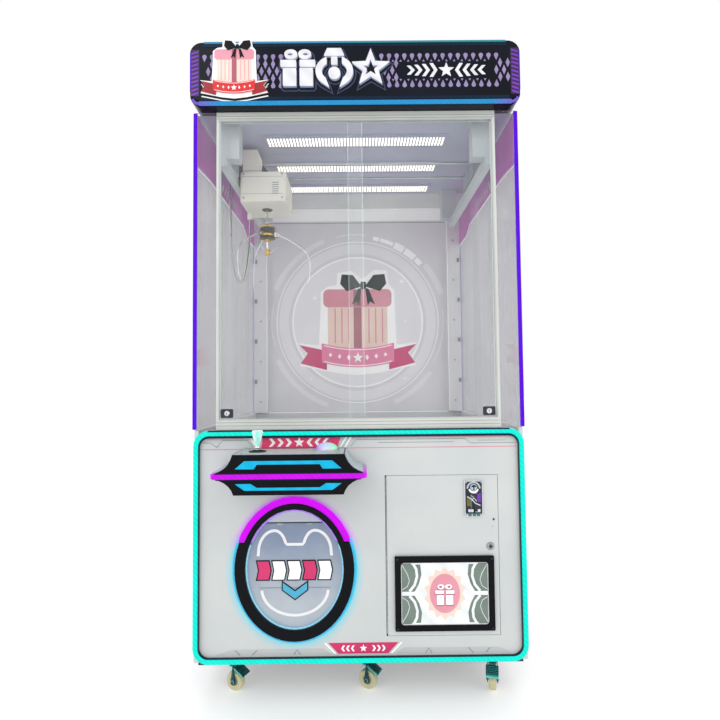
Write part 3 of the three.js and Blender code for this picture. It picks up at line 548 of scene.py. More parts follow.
def tube(paths, radius, closed=False, sides=4):
    """Round rods along one or more lines of points."""
    line = bpy.data.curves.new("path", "CURVE")
    line.dimensions = "3D"
    line.bevel_depth = radius * MM
    line.bevel_resolution = sides
    line.use_fill_caps = not closed
    for points in paths:
        spline = line.splines.new("POLY")
        spline.points.add(len(points) - 1)
        spline.use_cyclic_u = closed
        for place, point in zip(spline.points, points):
            place.co = (*(Vector(point) * MM), 1)
    holder = bpy.data.objects.new("path", line)
    mesh = bpy.data.meshes.new_from_object(holder)
    bpy.data.objects.remove(holder)
    bpy.data.curves.remove(line)
    shape = bmesh.new()
    shape.from_mesh(mesh)
    bmesh.ops.remove_doubles(shape, verts=shape.verts[:], dist=radius * MM * 0.01)
    bmesh.ops.recalc_face_normals(shape, faces=shape.faces[:])
    bpy.data.meshes.remove(mesh)
    return to_mesh(shape)


def together(*meshes):
    """Several meshes as one; their materials are numbered by the order of the meshes."""
    shape = bmesh.new()
    for mesh in meshes:
        shape.from_mesh(mesh)
        bpy.data.meshes.remove(mesh)
    return to_mesh(shape)


def piece(name, mesh, look, body="root", bevel=0.0, crease=35):
    """Puts a mesh, or several as one, in the scene as a named piece that rides on a body."""
    if isinstance(mesh, list):
        mesh = together(*mesh)
    mesh.name = name
    mesh.materials.append(LOOK[look])
    mesh.shade_smooth()
    mesh.set_sharp_from_angle(angle=math.radians(crease))
    made = bpy.data.objects.new(name, mesh)
    bpy.context.scene.collection.objects.link(made)
    if bevel:
        soften(made, bevel)
    if body:
        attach(made, body)
    return made


def soften(made, width, segments=2):
    """Rounds the sharp edges of a piece."""
    edge = made.modifiers.new("edge", "BEVEL")
    edge.width = width * MM
    edge.segments = segments
    edge.limit_method = "ANGLE"
    edge.angle_limit = math.radians(40)
    edge.harden_normals = True


def raised(name, loops, look, base, thick, bevel=0.0, body="root", side="front"):
    return piece(name, plate(loops, side, base, thick), look, body, bevel)


def layers(base, body, *rows, side="front"):
    """Flat shapes on one plane: a row is a name, outlines, a look, how far out, a thickness and a bevel."""
    for name, loops, look, out, *thick_and_bevel in rows:
        raised(name, loops, look, base + OUTWARD[side] * out, *thick_and_bevel, body=body, side=side)


def stand_for(made, node):
    """Hides the CAD node that a piece takes the place of."""
    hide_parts(node)


def spool(*half):
    """A turned profile mirrored about its middle, from its upper half. With a bore it closes on itself."""
    profile = [(r, -h) for r, h in half] + list(half[::-1])
    return profile + profile[:1] if half[0][0] else profile


def chevron(u, z, half, width, notch, sign=1):
    """An arrow block from u towards sign, with its point and its notch as deep as each other."""
    return [(u, z - half), (u + sign * width, z - half), (u + sign * (width + notch), z),
            (u + sign * width, z + half), (u, z + half), (u + sign * notch, z)]


def screws(name, spots, side, base, radius, look="zinc", body="root"):
    """Pan-head screws with a cross recess, heads standing out from the plane at base."""
    heads = []
    top = base + OUTWARD[side] * radius * 0.2
    arm, width = radius * 0.55, radius * 0.12
    corner = [Vector((arm, -width)), Vector((arm, width)), Vector((width, width))]
    turns = [Matrix.Rotation(math.radians(90 * i), 2) for i in range(4)]
    cross = [tuple(turn @ point) for turn in turns for point in corner]
    for u, v in spots:
        heads.append(plate([ellipse(u, v, radius, steps=20)], side, base, radius * 0.2))
        heads.append(plate([ellipse(u, v, radius * 0.9, steps=20), shifted(cross, u, v)], side, top,
            radius * 0.25))
    return piece(name, heads, look, body)


def edge_smoothing():
    """A node group that shades a CAD solid's shallow facets smooth and keeps its corners crisp."""
    group = bpy.data.node_groups.new("smooth_facets", "GeometryNodeTree")
    for way in ("INPUT", "OUTPUT"):
        group.interface.new_socket("Geometry", in_out=way, socket_type="NodeSocketGeometry")
    source, target, faces, edges, angle, sharp = [group.nodes.new(kind) for kind in (
        "NodeGroupInput", "NodeGroupOutput", "GeometryNodeSetShadeSmooth", "GeometryNodeSetShadeSmooth",
        "GeometryNodeInputMeshEdgeAngle", "FunctionNodeCompare")]
    faces.domain, edges.domain = "FACE", "EDGE"
    sharp.data_type, sharp.operation = "FLOAT", "GREATER_THAN"
    sharp.inputs[1].default_value = math.radians(35)
    edges.inputs["Shade Smooth"].default_value = False
    for output, socket in ((source.outputs[0], faces.inputs["Geometry"]),
            (sharp.outputs[0], edges.inputs["Selection"]), (faces.outputs[0], edges.inputs["Geometry"]),
            (edges.outputs[0], target.inputs[0]), (angle.outputs["Unsigned Angle"], sharp.inputs[0])):
        group.links.new(output, socket)
    return group


SMOOTHING = edge_smoothing()


def dress(node, look, bevel=0.8):
    """Gives a CAD node its finish, and rounds its edges without touching its mesh."""
    made = NODES[node]
    made.data.materials.clear()
    made.data.materials.append(LOOK[look])
    weld = made.modifiers.new("weld", "WELD")
    weld.merge_threshold = 0.00001
    flatten = made.modifiers.new("flatten", "DECIMATE")
    flatten.decimate_type = "DISSOLVE"
    flatten.angle_limit = math.radians(0.5)
    smoothing = made.modifiers.new("smooth", "NODES")
    smoothing.node_group = SMOOTHING
    if bevel:
        soften(made, bevel)
    return made


# ---- finishes of the CAD nodes
def dress_nodes():
    finishes = {"base_frame": ("plywood", 1.2), "side_panel_left": ("board", 1.0),
        "side_panel_right": ("board", 1.0), "rear_panel": ("board", 0.6), "front_panel": ("sheet", 0.4),
        "front_lamp": ("cyan_lamp", 1.2), "playfield": ("playfield", 0.6), "prize_chute": ("chute", 0.4),
        "chute_guard": ("acrylic", 0.3), "prize_ring": ("black", 1.4), "ring_lamp": ("ring_light", 1.0),
        "prize_window": ("window", 0.3), "prize_flap": ("flap", 0.3), "console_shell": ("black", 0.8),
        "console_deck": ("deck", 0.5), "console_lamp": ("magenta_lamp", 1.0),
        "joystick_gimbal": ("steel_dark", 0.6), "service_door": ("sheet", 0.3),
        "coin_plate": ("chrome", 0.5), "display_window": ("black", 0.6), "door_lock": ("chrome", 0.4),
        "side_glass_left": ("side_glass", 0), "side_glass_right": ("side_glass", 0),
        "front_frame": ("alloy", 0.5), "glass_left": ("glass", 0), "glass_right": ("glass", 0),
        "rear_wall": ("wall", 0.5), "roof": ("ceiling", 0.4), "header_box": ("sign", 0.8),
        "header_panel": ("sign", 0.8), "rail_left": ("rail", 0.8), "rail_right": ("rail", 0.8),
        "bridge": ("brushed", 0.6), "trolley": ("ivory", 1.6), "winch_drum": ("drum", 0.5),}
    for node, (look, bevel) in finishes.items():
        dress(node, look, bevel)
    for place in CASTER_NAMES:
        dress("fork_" + place, "steel_teal" if "front" in place else "zinc", 0.5)
    for place in CASTER_NAMES[:3]:
        dress("pedal_" + place, "zinc_teal", 0.8)


CASTER_NAMES = ["front_left", "front_middle", "front_right", "rear_left", "rear_middle", "rear_right"]


# ---- header sign
def gift_outline(x, z, width):
    """A wrapped box with a bow: four panels, and two bow loops with their eyes."""
    w = width / 2
    gap = width * 0.05
    groups = []
    for side in (-1, 1):
        near, far = side * gap, side * w
        groups.append([rect(*sorted((x + near, x + far * 0.86)), z - 0.52 * width, z - 0.02 * width, 2)])
        groups.append([rect(*sorted((x + near, x + far)), z + 0.04 * width, z + 0.22 * width, 2)])
        centre = (x + side * width * 0.2, z + 0.4 * width)
        groups.append([ellipse(*centre, width * 0.185, width * 0.13, 28),
                       ellipse(centre[0] + side * width * 0.02, centre[1], width * 0.085, width * 0.05, 20)])
    return groups


def claw_outline(x, z, width):
    """A grabber: cap, stem and two hooked prongs round a ball."""
    w = width
    cap = [(x - 0.2 * w, z + 0.56 * w), (x + 0.2 * w, z + 0.56 * w), (x + 0.29 * w, z + 0.36 * w),
           (x - 0.29 * w, z + 0.36 * w)]
    stem = rect(x - 0.09 * w, x + 0.09 * w, z + 0.1 * w, z + 0.31 * w, 2)
    outer = arc(x, z - 0.1 * w, 0.54 * w, 0.44 * w, 66, -52, 14)
    inner = arc(x, z - 0.1 * w, 0.36 * w, 0.29 * w, -46, 52, 14)
    right = outer + [(x + 0.15 * w, z - 0.57 * w)] + inner
    return [[cap], [stem], [right], [mirrored(right, x)], [ellipse(x, z - 0.16 * w, 0.17 * w, steps=28)]]


def star_outline(x, z, width):
    return [[star(x, z - 2, width * 0.56, width * 0.235), star(x, z - 2, width * 0.27, width * 0.112)]]


def icon(name, groups, look, base, thick, margin=0.0, shift=(0, 0), body="root", bevel=0.4):
    """An icon of one or more outlines, each with its own hole, grown by a margin all round."""
    plates = []
    for group in groups:
        loops = [grown(group[0], margin) if margin else group[0]]
        loops += [grown(hole, -margin) if margin else hole for hole in group[1:]]
        plates.append(plate([shifted(loop, *shift) for loop in loops], "front", base, thick))
    return piece(name, plates, look, body, bevel)


def sign_glyphs():
    """Three raised white icons, each with its side painted a grey-blue shade, a dark painted shadow and a
    dim glow behind.
    """
    face = Box("header_panel").front + 0.3
    width, z = 110, 1987
    # Layers: the dim glow, a painted drop shadow, the side in a painted grey-blue shade, and the white face.
    layers = (("glow", "sign_glow", 9, (2, -5), 0, 2), ("shadow", "ink", 5, (2, -6), 2, 2),
              ("side", "sign_side", 0.6, (1.5, -4), 4, 3), ("face", "sign_white", 0, (0, 0), 7, 7))
    for word, x, shape in (("gift", -181, gift_outline), ("claw", -66, claw_outline),
            ("star", 49, star_outline)):
        groups = shape(x, z, width)
        for layer, look, margin, shift, level, thick in layers:
            shown = groups
            if margin > 4:
                shown = [[group[0]] for group in groups]
            icon(f"sign_{word}_{layer}", shown, look, face - level, thick, margin, shift)


def sign_lattice():
    """Printed lattice: staggered diamonds beside the icons, with rows of drops above and below."""
    pitch, row, high, low = 24.4, 23.2, 2027, 1938
    middle = (high + low) / 2
    diamonds, drops = [], []
    for start, columns in ((-467, 3), (-322, 8), (94, 4), (450, 4)):
        for column in range(columns):
            x = start + column * pitch / 2
            for z in (middle - row, middle + row) if column % 2 else (middle,):
                diamonds.append([(x - 6.9, z), (x, z - 16), (x + 6.9, z), (x, z + 16)])
    for start, count in ((-479, 2), (-334, 5), (84, 16)):
        for i in range(count):
            x, between = start + i * pitch, start + (i + 0.5) * pitch
            for z, sign in ((high, 1), (low, -1)):
                drops.append(arc(x, z + sign * 4, 7, 7, -30 * sign, 210 * sign, 10) + [(x, z - sign * 13)])
                if start > 0 and 0 < i < count - 2:
                    near = z - sign * 16
                    drops.append([(between - 4, near), (between + 4, near), (between, near + sign * 7)])
    layers(Box("header_panel").front + 0.3, "root", ("sign_lattice", diamonds, "lattice", 0, 0.7),
           ("sign_drops", drops, "lattice", 0, 0.7))


def sign_side_mark():
    """Small icons at the right of the sign: a star between two groups of chevrons."""
    x, z = 290, 1982
    loops = [star(x, z, 25, 10.5)]
    for side in (-1, 1):
        loops += [chevron(x + side * (42 + 24 * i), z, 2.5 * i - 22, 11, -14, side) for i in range(4)]
    raised("sign_chevrons", loops, "sign_white", Box("header_panel").front + 0.3, 3, 0.5)


def ribbon_shape(x, z, width, height, sag):
    """A banner that sags in the middle, with a notched tail folded behind at each end."""
    outer, half, steps = width / 2, width * 0.31, 12
    us = [half * (2 * i / steps - 1) for i in range(steps + 1)]
    line = [(x + u, z + sag * ((u / half) ** 2 - 1)) for u in us]
    body = shifted(line, 0, -height / 2) + shifted(line, 0, height / 2)[::-1]
    inner = half * 0.86
    tail = [(x + inner, z - height * 0.9), (x + outer * 0.98, z - height * 0.55),
        (x + outer * 0.86, z - height * 0.02), (x + outer, z + height * 0.42), (x + inner, z + height * 0.1)]
    return body, [mirrored(tail, x), tail]


def gift_picture(prefix, x, z, size, face, lift, banner_look, tail_look):
    """A pleated gift box with lid and dark bow behind a blank banner, on a white cut-out edge.

    size scales the picture, and lift is the relief of one of its layers.
    """
    def layer(word, loops, look, level, height):
        placed = [[(x + size * u, z + size * v) for u, v in loop] for loop in loops]
        raised(f"{prefix}_{word}", placed, look, face - lift * level, lift * height, lift * 0.2)

    layer("edge", [PICTURE_EDGE], "print_white", 0, 1.1)
    layer("box", [rect(-150, 150, -175, 135, 60, 10)], "cream", 1, 0.6)
    layer("lid", [rect(-172, 172, 77, 167, 26, 8)], "rose", 1.5, 0.6)
    pleats = [rect(-150 + 34 * i, -144 + 34 * i, -105, 71, 2) for i in range(1, 9) if i not in (4, 5)]
    layer("pleats", pleats, "rose", 1.5, 0.3)
    layer("wrap", [rect(-20, 20, -175, 76, 4), rect(-20, 20, 79, 165, 4)], "rose_dark", 2, 0.4)
    bow, ties = [], []
    for side in (-1, 1):
        middle = 30 + side * 8
        bow.append([(middle, 181), (30 + side * 52, 239), (30 + side * 108, 243), (30 + side * 116, 195),
                    (30 + side * 84, 157)])
        ties.append([(30 + side * 10, 172), (30 + side * 26, 170), (30 + side * 58, 90),
            (30 + side * 34, 104), (30 + side * 22, 84)])
    layer("bow", bow, "ink", 2, 1.2)
    layer("ties", ties, "ink", 2, 0.9)
    layer("knot", [rect(16, 44, 167, 205, 8)], "ink", 3, 1.2)
    body, tails = ribbon_shape(0, -153, 586, 96, 26)
    layer("tails", tails, tail_look, 2, 0.6)
    layer("banner", [body], banner_look, 2.6, 0.8)
    trims = [band([(u, -153 + offset + 26 * ((u / 181.7) ** 2 - 1)) for u in range(-170, 171, 20)], 4)
             for offset in (-40, 40)]
    layer("trims", trims, "print_white", 3.3, 0.3)
    marks = [star(0, -179, 27, 11.5)]
    for u in (-138, -92, -46, 46, 92, 138):
        v, h = -179 + 26 * (u / 181.7) ** 2, 17 - abs(u) / 23
        marks.append([(u - 9, v), (u, v + h), (u + 9, v), (u, v - h)])
    layer("marks", marks, "print_white", 3.3, 0.5)


PICTURE_EDGE = [(-296, -103), (-196, -115), (-186, 65), (-186, 155), (-150, 183), (-104, 189), (-100, 250),
                (-30, 262), (26, 219), (84, 265), (150, 262), (160, 191), (186, 161), (188, 55), (196, -115),
                (296, -103), (256, -153), (292, -217), (196, -237), (110, -255), (0, -267), (-110, -255),
                (-196, -237), (-292, -217), (-256, -153)]


def sign_emblem():
    """The gift picture, on a black and a white cut-out that show below it as its shadow."""
    face = Box("header_panel").front + 0.3
    x, z, size = -383, 1990, 0.365
    outline = [(x + size * u, z + size * v) for u, v in PICTURE_EDGE]
    raised("emblem_under", [shifted(outline, 1, -10)], "print_white", face, 2, 0.5)
    raised("emblem_shade", [shifted(grown(outline, 0.5), 1, -6)], "ink", face - 1.8, 2, 0.5)
    gift_picture("emblem", x, z, size, face - 3.6, 2.0, "red", "red_dark")


def sign_caps():
    """Violet end caps of the sign, with slanting bars."""
    panel = Box("header_panel")
    low, high = 1903, 2054
    inner, outer = panel.right - 31, panel.right - 4
    rows = [low + 2 + step * 13.4 for step in range(11)]
    bars = [[(inner + 3, z + 5), (outer - 2, z - 2), (outer - 2, z + 4.5), (inner + 3, z + 11.5)]
            for z in rows if z + 11.5 < high]
    edge = band([(panel.right - 2.5, z) for z in (low + 20, high - 10)], 3)
    for word, side in SIDES:
        turn = mirrored if side < 0 else list
        layers(panel.front + 0.3, "root",
               (f"sign_cap_{word}", [turn(rect(inner, outer, low, high, 4))], "violet_dark", 0, 0.8),
               (f"sign_cap_bars_{word}", [turn(bar) for bar in bars], "violet", 0.8, 0.8),
               (f"sign_cap_glow_{word}", [turn(edge)], "purple_lamp", 0, 1))


def sign_lamps():
    """The blue lamp along the foot of the sign with its turned-up ends, and the thin one on top."""
    panel, box = Box("header_panel"), Box("header_box")
    half, corner, top, foot, face = panel.right, 30, panel.high, panel.low, panel.front + 0.3
    run, low = half - corner, box.low + 2
    raised("sign_lamp_low", [rect(-run, run, low, foot - 1)], "strip_light", -441.5, 5, 0.8)
    for word, side in SIDES:
        tip = arc(side * run, low + corner + 4, corner - 6, corner - 2, -90, -90 + side * 62, 8)
        raised(f"sign_lamp_tip_{word}", [band(tip, 9)], "strip_light", face, 2, 0.5)
    layers(face, "root",
           ("sign_lamp_top", [rect(45 - half, half - 45, top - 5.5, top - 0.2, 2)], "top_light", 0, 3, 0.6),
           # The navy band under the top lamp is a painted reflection, the dark sheen seen across the sign's
           # face there.
           ("sign_top_band", [rect(42 - half, half - 42, top - 17, top - 7, 3)], "navy", 0, 1.2, 0.3),
           ("sign_low_band", [rect(36 - half, half - 36, foot + 2, foot + 12, 3)], "navy", 0, 1.2, 0.3))


# ---- glass case
def corner_lamps():
    """Violet light strips in white channels up the four corners of the glass case."""
    side, case = Box("side_glass_right"), Box("front_frame")
    low, length = case.low + 2, case.size.z - 4
    for depth, front, rear in (("front", side.front - 1.5, side.front + 9), ("rear", 541, 551)):
        for word, sign in SIDES:
            strip = rect(*sorted((sign * 525.5, sign * 520.6)), front, rear, 1.5)
            raised(f"corner_lamp_{depth}_{word}", [strip], "purple_lamp", low, length, 0.5, side="top")
            if depth == "front":
                rim = rect(*sorted((sign * 520.4, sign * 512)), front - 0.4, front + 1.2, 0.4)
                raised(f"corner_trim_{word}", [rim], "purple_lamp", low, length, 0.2, side="top")


def side_films():
    """Magenta film along the top of each side glass, with its printed slanting cuts."""
    glass = Box("side_glass_right")
    front, rear, top, low, step = glass.front + 14, glass.rear - 6, glass.high - 6, 1712, 1700
    outline = [(front, top), (front, step), (front + 150, low), (rear - 260, low), (rear - 180, low - 34),
               (rear, low - 34), (rear, top)]
    cuts = [[(y, low + 18), (y + 12, low + 18), (y + 32, low + 52), (y + 20, low + 52)]
            for y in (front + 300 + 36 * i for i in range(7))]
    line = [(front, step - 8), (front + 146, low - 8), (rear - 264, low - 8), (rear - 184, low - 42),
        (rear, low - 42)]
    for word, sign, inward in (("left", -1, "right"), ("right", 1, "left")):
        layers(sign * 514.9, "root", (f"side_film_{word}", [outline] + cuts, "magenta_film", 0, 0.3),
               (f"side_film_line_{word}", [band(line, 3)], "print_white", 0, 0.4), side=inward)


def sliding_glass_edges():
    """Ground bright edges and locks of the two sliding glasses."""
    profile = [(0, 0), (8.5, 0), (8.5, 1.2), (7.2, 2.2), (2.2, 2.4), (0, 1.6)]
    for word, x, flat in (("left", -417, 1), ("right", 417, 0.34)):
        body = "glass_" + word
        glass = Box(body)
        front, z = glass.front + 0.2, 897
        edges = [plate([rect(start, start + 1, glass.low + 8, glass.high - 8)], "front", glass.rear - 0.8,
            3.4) for start in (glass.left - 0.2, glass.right - 0.8)]
        # The glass_edge finish gives the ground edges a painted glow, standing in for light caught in the
        # glass.
        piece(f"glass_edge_{word}", edges, "glass_edge", body)
        barrel = turned([(u, v * flat) for u, v in profile], (x, front - 2.1 * flat, z), (0, -1, 0), 28)
        piece(f"glass_lock_{word}", barrel, "chrome", body)
        layers(front, body,
               (f"glass_lock_plate_{word}", [rect(x - 20, x + 20, 883, 911, 4)], "steel_dark", 0, 2.2 * flat,
                0.5 * flat),
               (f"glass_keyhole_{word}", [rect(x - 0.7, x + 0.7, 893, 901)], "ink", 4.3 * flat, 0.5 * flat))


def lamp_chips():
    """Rows of LED chips on the three ceiling boards, each with its board lines."""
    below, half, width, count, boards = Box("roof").low, 314, 60, 56, (-207, 24, 255)
    columns = [half * (2 * i / (count - 1) - 1) for i in range(count)]
    chips = [rect(x - 2.7, x + 2.7, y - width / 2, y + width / 2, 1.2, 2) for y in boards for x in columns]
    lines = [rect(-half - 6, half + 6, y + offset - 1.2, y + offset + 1.2) for y in boards
        for offset in (-42, 42)]
    layers(below, "root", ("ceiling_chips", chips, "chip", -0.2, 1.2),
           ("ceiling_lines", lines, "grey_line", -0.1, 0.4), side="bottom")


def ceiling():
    """Ceiling sheet's pressed seams and the screws of the crane's hangers."""
    under = Box("roof").low + 8
    seams = [rect(-512, 512, y - 1.5, y + 1.5) for y in (-92, 139)]
    layers(under, "root", ("ceiling_seams", seams, "pale_line", -0.2, 0.9, 0.3),
           ("ceiling_rear_sheet", [rect(-514, 514, 338, 552)], "white", -0.2, 0.9, 0.2),
           ("ceiling_edge", [rect(-514, 514, 540, 552)], "print_white", -0.2, 9, 1), side="bottom")
    raised("sign_underside", [rect(-519, 519, -384, -256)], "ceiling", Box("header_box").low + 0.1, 0.7,
        side="bottom")
    for word, sign in SIDES:
        feet = [plate([rect(*sorted((sign * 384, sign * 462)), y - 32, y + 32, 4)], "bottom", under - 0.2, 3)
                for y in (-320, 320)]
        piece(f"hanger_foot_{word}", feet, "rail", bevel=0.6)
        spots = [(sign * x, y) for x in (402, 444) for y in (-332, -312, 308, 332)]
        screws(f"hanger_screws_{word}", spots, "bottom", under - 3, 4.5)


def case_trim():
    """Seals and glazing beads round the front opening, and lips along the rear posts."""
    box = Box("front_frame")
    bead = [rect(box.left + 10.5 - grow, box.right - 10.5 + grow, 879 - grow, 1842 + grow)
        for grow in (3, 0)]
    lines = [rect(box.left + 3, box.right - 3, z - 0.7, z + 0.7) for z in (1848, 1856, 868, 858)]
    layers(box.front, "root", ("window_bead", bead, "pale_line", -0.2, 1.2, 0.3),
           ("frame_lines", lines, "grey_line", -0.1, 0.5))
    for word, sign in SIDES:
        screws(f"post_screws_{word}", [(sign * 482, z) for z in range(900, 1701, 200)], "front", 525, 4.5)
        clips = [rect(*sorted((sign * 500, sign * 512)), z - 10, z + 10, 2) for z in range(1000, 1601, 200)]
        lip = rect(*sorted((sign * 449.6, sign * 453)), 850, 1862)
        layers(525.2, "root", (f"post_lip_{word}", [lip], "print_white", 0, 3, 0.6),
               (f"post_clips_{word}", clips, "grey_line", 0, 5, 1))


# ---- print on the rear wall
def rear_rings(face):
    """Concentric rings and broken arcs printed pale on the grey wall."""
    x, z = 0, 1297
    rings = ((394, 346, "print_soft", 0.3), (330, 322, "print_white", 0.5), (322, 214, "print_soft", 0.3),
             (408, 404, "print_white", 0.5))
    for i, (outer, inner, look, thick) in enumerate(rings):
        raised(f"wall_ring_{i + 1}", [ellipse(x, z, outer, steps=96), ellipse(x, z, inner, steps=96)], look,
            face, thick)

    def broken(inner, outer, start, end, steps):
        return arc(x, z, outer, outer, start, end, steps) + arc(x, z, inner, inner, end, start, steps)

    arcs = [broken(inner, outer, start, end, 18) for start, end, inner,
        outer in ((18, 40, 432, 462), (84, 104, 440, 449), (112, 158, 432, 456), (168, 196, 428, 436),
        (-28, 8, 428, 436), (205, 250, 432, 456), (-66, -35, 432, 456))]
    blocks = [broken(inner, outer, start, end, 5) for start, end, inner, outer in (
        (42, 47, 420, 446), (48, 56, 416, 450), (57, 64, 416, 450), (65, 74, 424, 442), (75, 79, 424, 442))]
    layers(face, "root", ("wall_disc", [ellipse(x, z, 213, steps=96)], "print_soft", 0, 0.4),
           ("wall_arcs", arcs, "print_soft", 0, 0.3), ("wall_blocks", blocks, "print_white", 0, 0.5))


def rear_emblem(face):
    """The same gift picture, large, with small sparks round it."""
    gift_picture("wall_emblem", 0, 1295, 1.0, face - 0.5, 1.0, "banner_pink", "banner_deep")
    sparks = [star(x, z, size, size / 3, 4) for x, z,
        size in ((-236, 1010, 9), (236, 1010, 9), (-215, 1420, 16), (225, 1500, 16), (240, 1300, 10))]
    raised("wall_emblem_sparks", sparks, "print_white", face, 0.4)


def rear_art():
    face = Box("rear_wall").rear - 8 + 0.1
    rear_rings(face)
    rear_emblem(face)
    raised("wall_top_band", [rect(-446, 446, 1811, 1861)], "print_white", face, 0.8, 0.2)
    raised("wall_top_line", [rect(-446, 446, 1800, 1803)], "grey_line", face, 0.4)


# ---- crane
CLAW_AT = Vector((-341, -93, 0))


def around(points, angle, centre=CLAW_AT):
    """Points given as (outward, sideways, z) from an axis, turned to an angle round it."""
    c, s = math.cos(math.radians(angle)), math.sin(math.radians(angle))
    return [(centre.x + c * u - s * v, centre.y + s * u + c * v, z) for u, v, z in points]


PRONGS = {"right": 0, "rear": 120, "front": 240}
PRONG_LINE = [(40, -1), (64, -10), (100, -31), (136, -56), (156, -83), (162, -113), (161, -146), (156, -177),
              (148, -190)]


def across(angle):
    """The direction of a prong's pivot pin."""
    return Vector(around([(0, 1, 0)], angle, Vector((0, 0, 0)))[0])


def bent_rod(points, radii, sides=12):
    """A rod along a line of points, with its own radius at each point and blunt ends."""
    shape = bmesh.new()
    line = [Vector(point) for point in points]
    along = [(b - a).normalized() for a, b in zip(line[:1] + line, line[1:] + line[-1:])]
    side = along[0].orthogonal().normalized()
    rings = []
    for point, r, way in zip(line, radii, along):
        side = (side - way * side.dot(way)).normalized()
        other = way.cross(side)
        rings.append([shape.verts.new((point + side * x + other * y) * MM) for x, y,
            _ in circle((0, 0, 0), r, sides)])
    skin(shape, rings)
    for ring, point, way in ((rings[0], line[0], -along[0]), (rings[-1], line[-1], along[-1])):
        skin(shape, [ring, [shape.verts.new((point + way * radii[0] * 0.4) * MM)]])
    return closed_mesh(shape)


def prongs():
    """Three plated prongs, each a bent rod with a flattened eye and a tip cap."""
    z = PIVOT["prong_right_swing"].z
    line = smooth_path([(u, 0, z + h) for u, h in PRONG_LINE], 6)
    radii = [3.1 - 1.3 * (i / len(line)) ** 2 for i in range(len(line))]
    eye = spool((2.4, 4.6), (5.2, 4.6), (5.6, 3.8))
    cap = [(0, -3.2), (2.2, -3), (3.1, -1), (3.1, 8), (2.4, 10), (0, 10)]
    for word, angle in PRONGS.items():
        body, path = "prong_" + word, around(line, angle)
        stand_for(piece(f"prong_rod_{word}", bent_rod(path, radii), "chrome", body), body)
        piece(f"prong_eye_{word}", turned(eye, around([(38, 0, z)], angle)[0], across(angle), 28), "chrome",
            body)
        back = (Vector(path[-4]) - Vector(path[-1])).normalized()
        piece(f"prong_cap_{word}", turned(cap, path[-1], back, 20), "cable_white", body)


def claw_body():
    """Wound coil between gold rims, with its top boss, hanger eye, three ear brackets and their pins."""
    high, low, r = 1587, 1541, 29
    at = (CLAW_AT.x, CLAW_AT.y, 0)
    windings = [(22, low + 7)]
    z = low + 8
    while z < high - 8:
        windings += [(r - 1.2, z), (r - 0.2, z + 0.9), (r - 0.2, z + 1.6), (r - 1.2, z + 2.5)]
        z += 2.7
    windings += [(22, high - 7), (22, low + 7)]
    stand_for(piece("claw_coil", turned(windings, at, steps=56), "coil", "claw", crease=60), "claw_body")
    lower = [(7.2, low), (r - 4, low), (r + 0.4, low + 1.2), (r + 0.8, low + 3.6), (r - 0.4, low + 4.6),
             (r - 2, low + 7.6), (7.2, low + 7.6), (7.2, low)]
    upper = [(6.8, high - 7.6), (r - 2, high - 6), (r + 0.8, high - 3.2), (r + 0.8, high - 1), (r - 1, high),
             (r - 6, high + 3.2), (11, high + 4.4), (9.6, high + 7), (8, 1598), (6.4, 1600), (0, 1600),
             (0, high + 3.4), (6.8, high + 3.2), (6.8, high - 7.6)]
    belt = [(r - 1, 1549), (r + 0.7, 1549.6), (r + 0.7, 1557.4), (r - 1, 1558), (r - 1, 1549)]
    bush = [(5, low - 9), (12, low - 9), (13, low - 8), (13, low + 0.5), (5, low + 0.5), (5, low - 9)]
    for name, profile, look, steps in (("claw_rim_low", lower, "coil", 56),
            ("claw_rim_high", upper, "gold", 56), ("claw_coil_band", belt, "gold", 56),
            ("claw_bush", bush, "brass", 40)):
        piece(name, turned(profile, at, steps=steps), look, "claw")
    z = PIVOT["prong_right_swing"].z
    outline = [(25, z - 9), (36, z - 8)] + arc(38, z, 7, 7, -70, 80, 8) + [(32, z + 9), (25, z + 9)]
    pin = spool((0, 10.4), (3.4, 10.4), (3.6, 8.8), (2.1, 8.6))
    ears, pins = [], []
    for angle in PRONGS.values():
        for side in (-1, 1):
            ear = plate([outline], "front", 0, 1.6)
            ear.transform(Matrix.Translation(CLAW_AT * MM) @ Matrix.Rotation(math.radians(angle), 4, "Z")
                          @ Matrix.Translation((0, (side * 7 + 0.8) * MM, 0)))
            ears.append(ear)
        pins.append(turned(pin, around([(38, 0, z)], angle)[0], across(angle), 20))
    piece("claw_ears", ears, "chrome", "claw", bevel=0.3)
    piece("claw_pins", pins, "brass", "claw")
    eye = [(x, CLAW_AT.y, 1603 + y) for x, y, _ in circle((CLAW_AT.x, 0, 0), 5, 24)]
    piece("claw_eye", tube([eye], 1.3, True), "chrome", "claw")


def claw_slider():
    """Plunger rod, brass nut with a knurl, and its three link stubs."""
    at, body = (CLAW_AT.x, CLAW_AT.y, 0), "claw_slider"
    rod = [(0, 1481), (4.4, 1481), (4.8, 1482), (4.8, 1570), (4.2, 1571), (0, 1571)]
    stand_for(piece("plunger_rod", turned(rod, at, steps=32), "chrome", body), body)
    teeth = [circle(at, r, 20, start)[i][:2] for i in range(20) for r, start in ((9.6, 0), (10.2, 0.5))]
    nut = [(0, 1480), (8.6, 1480), (9, 1480.6), (9, 1500), (7, 1502), (5, 1502.4), (0, 1502.4)]
    piece("plunger_nut", [plate([teeth], "top", 1482, 16), turned(nut, at, steps=32)], "brass", body)
    links = []
    for angle in PRONGS.values():
        points = around([(6, 0, 1490), (12, 0, 1491), (24, 0, 1499), (35, 0, 1508)], angle)
        links.append(bent_rod(smooth_path(points, 4), [1.9] * 13, 10))
    piece("plunger_links", links, "chrome", body)


def twisted_cord():
    """Hoist cord: three strands laid round each other from the drum down to the claw's eye."""
    low, high, turns, r = 1606, 1686, 9, 1.0
    count = turns * 12
    strands = [[circle((CLAW_AT.x, CLAW_AT.y, low + (high - low) * i / count), r, 1, i / 12 + k / 3)[0]
                for i in range(count + 1)] for k in range(3)]
    made = piece("hoist_strands", tube(strands, 0.95, False, 2), "cord", None)
    stand_for(made, "hoist_cord")
    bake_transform(made)


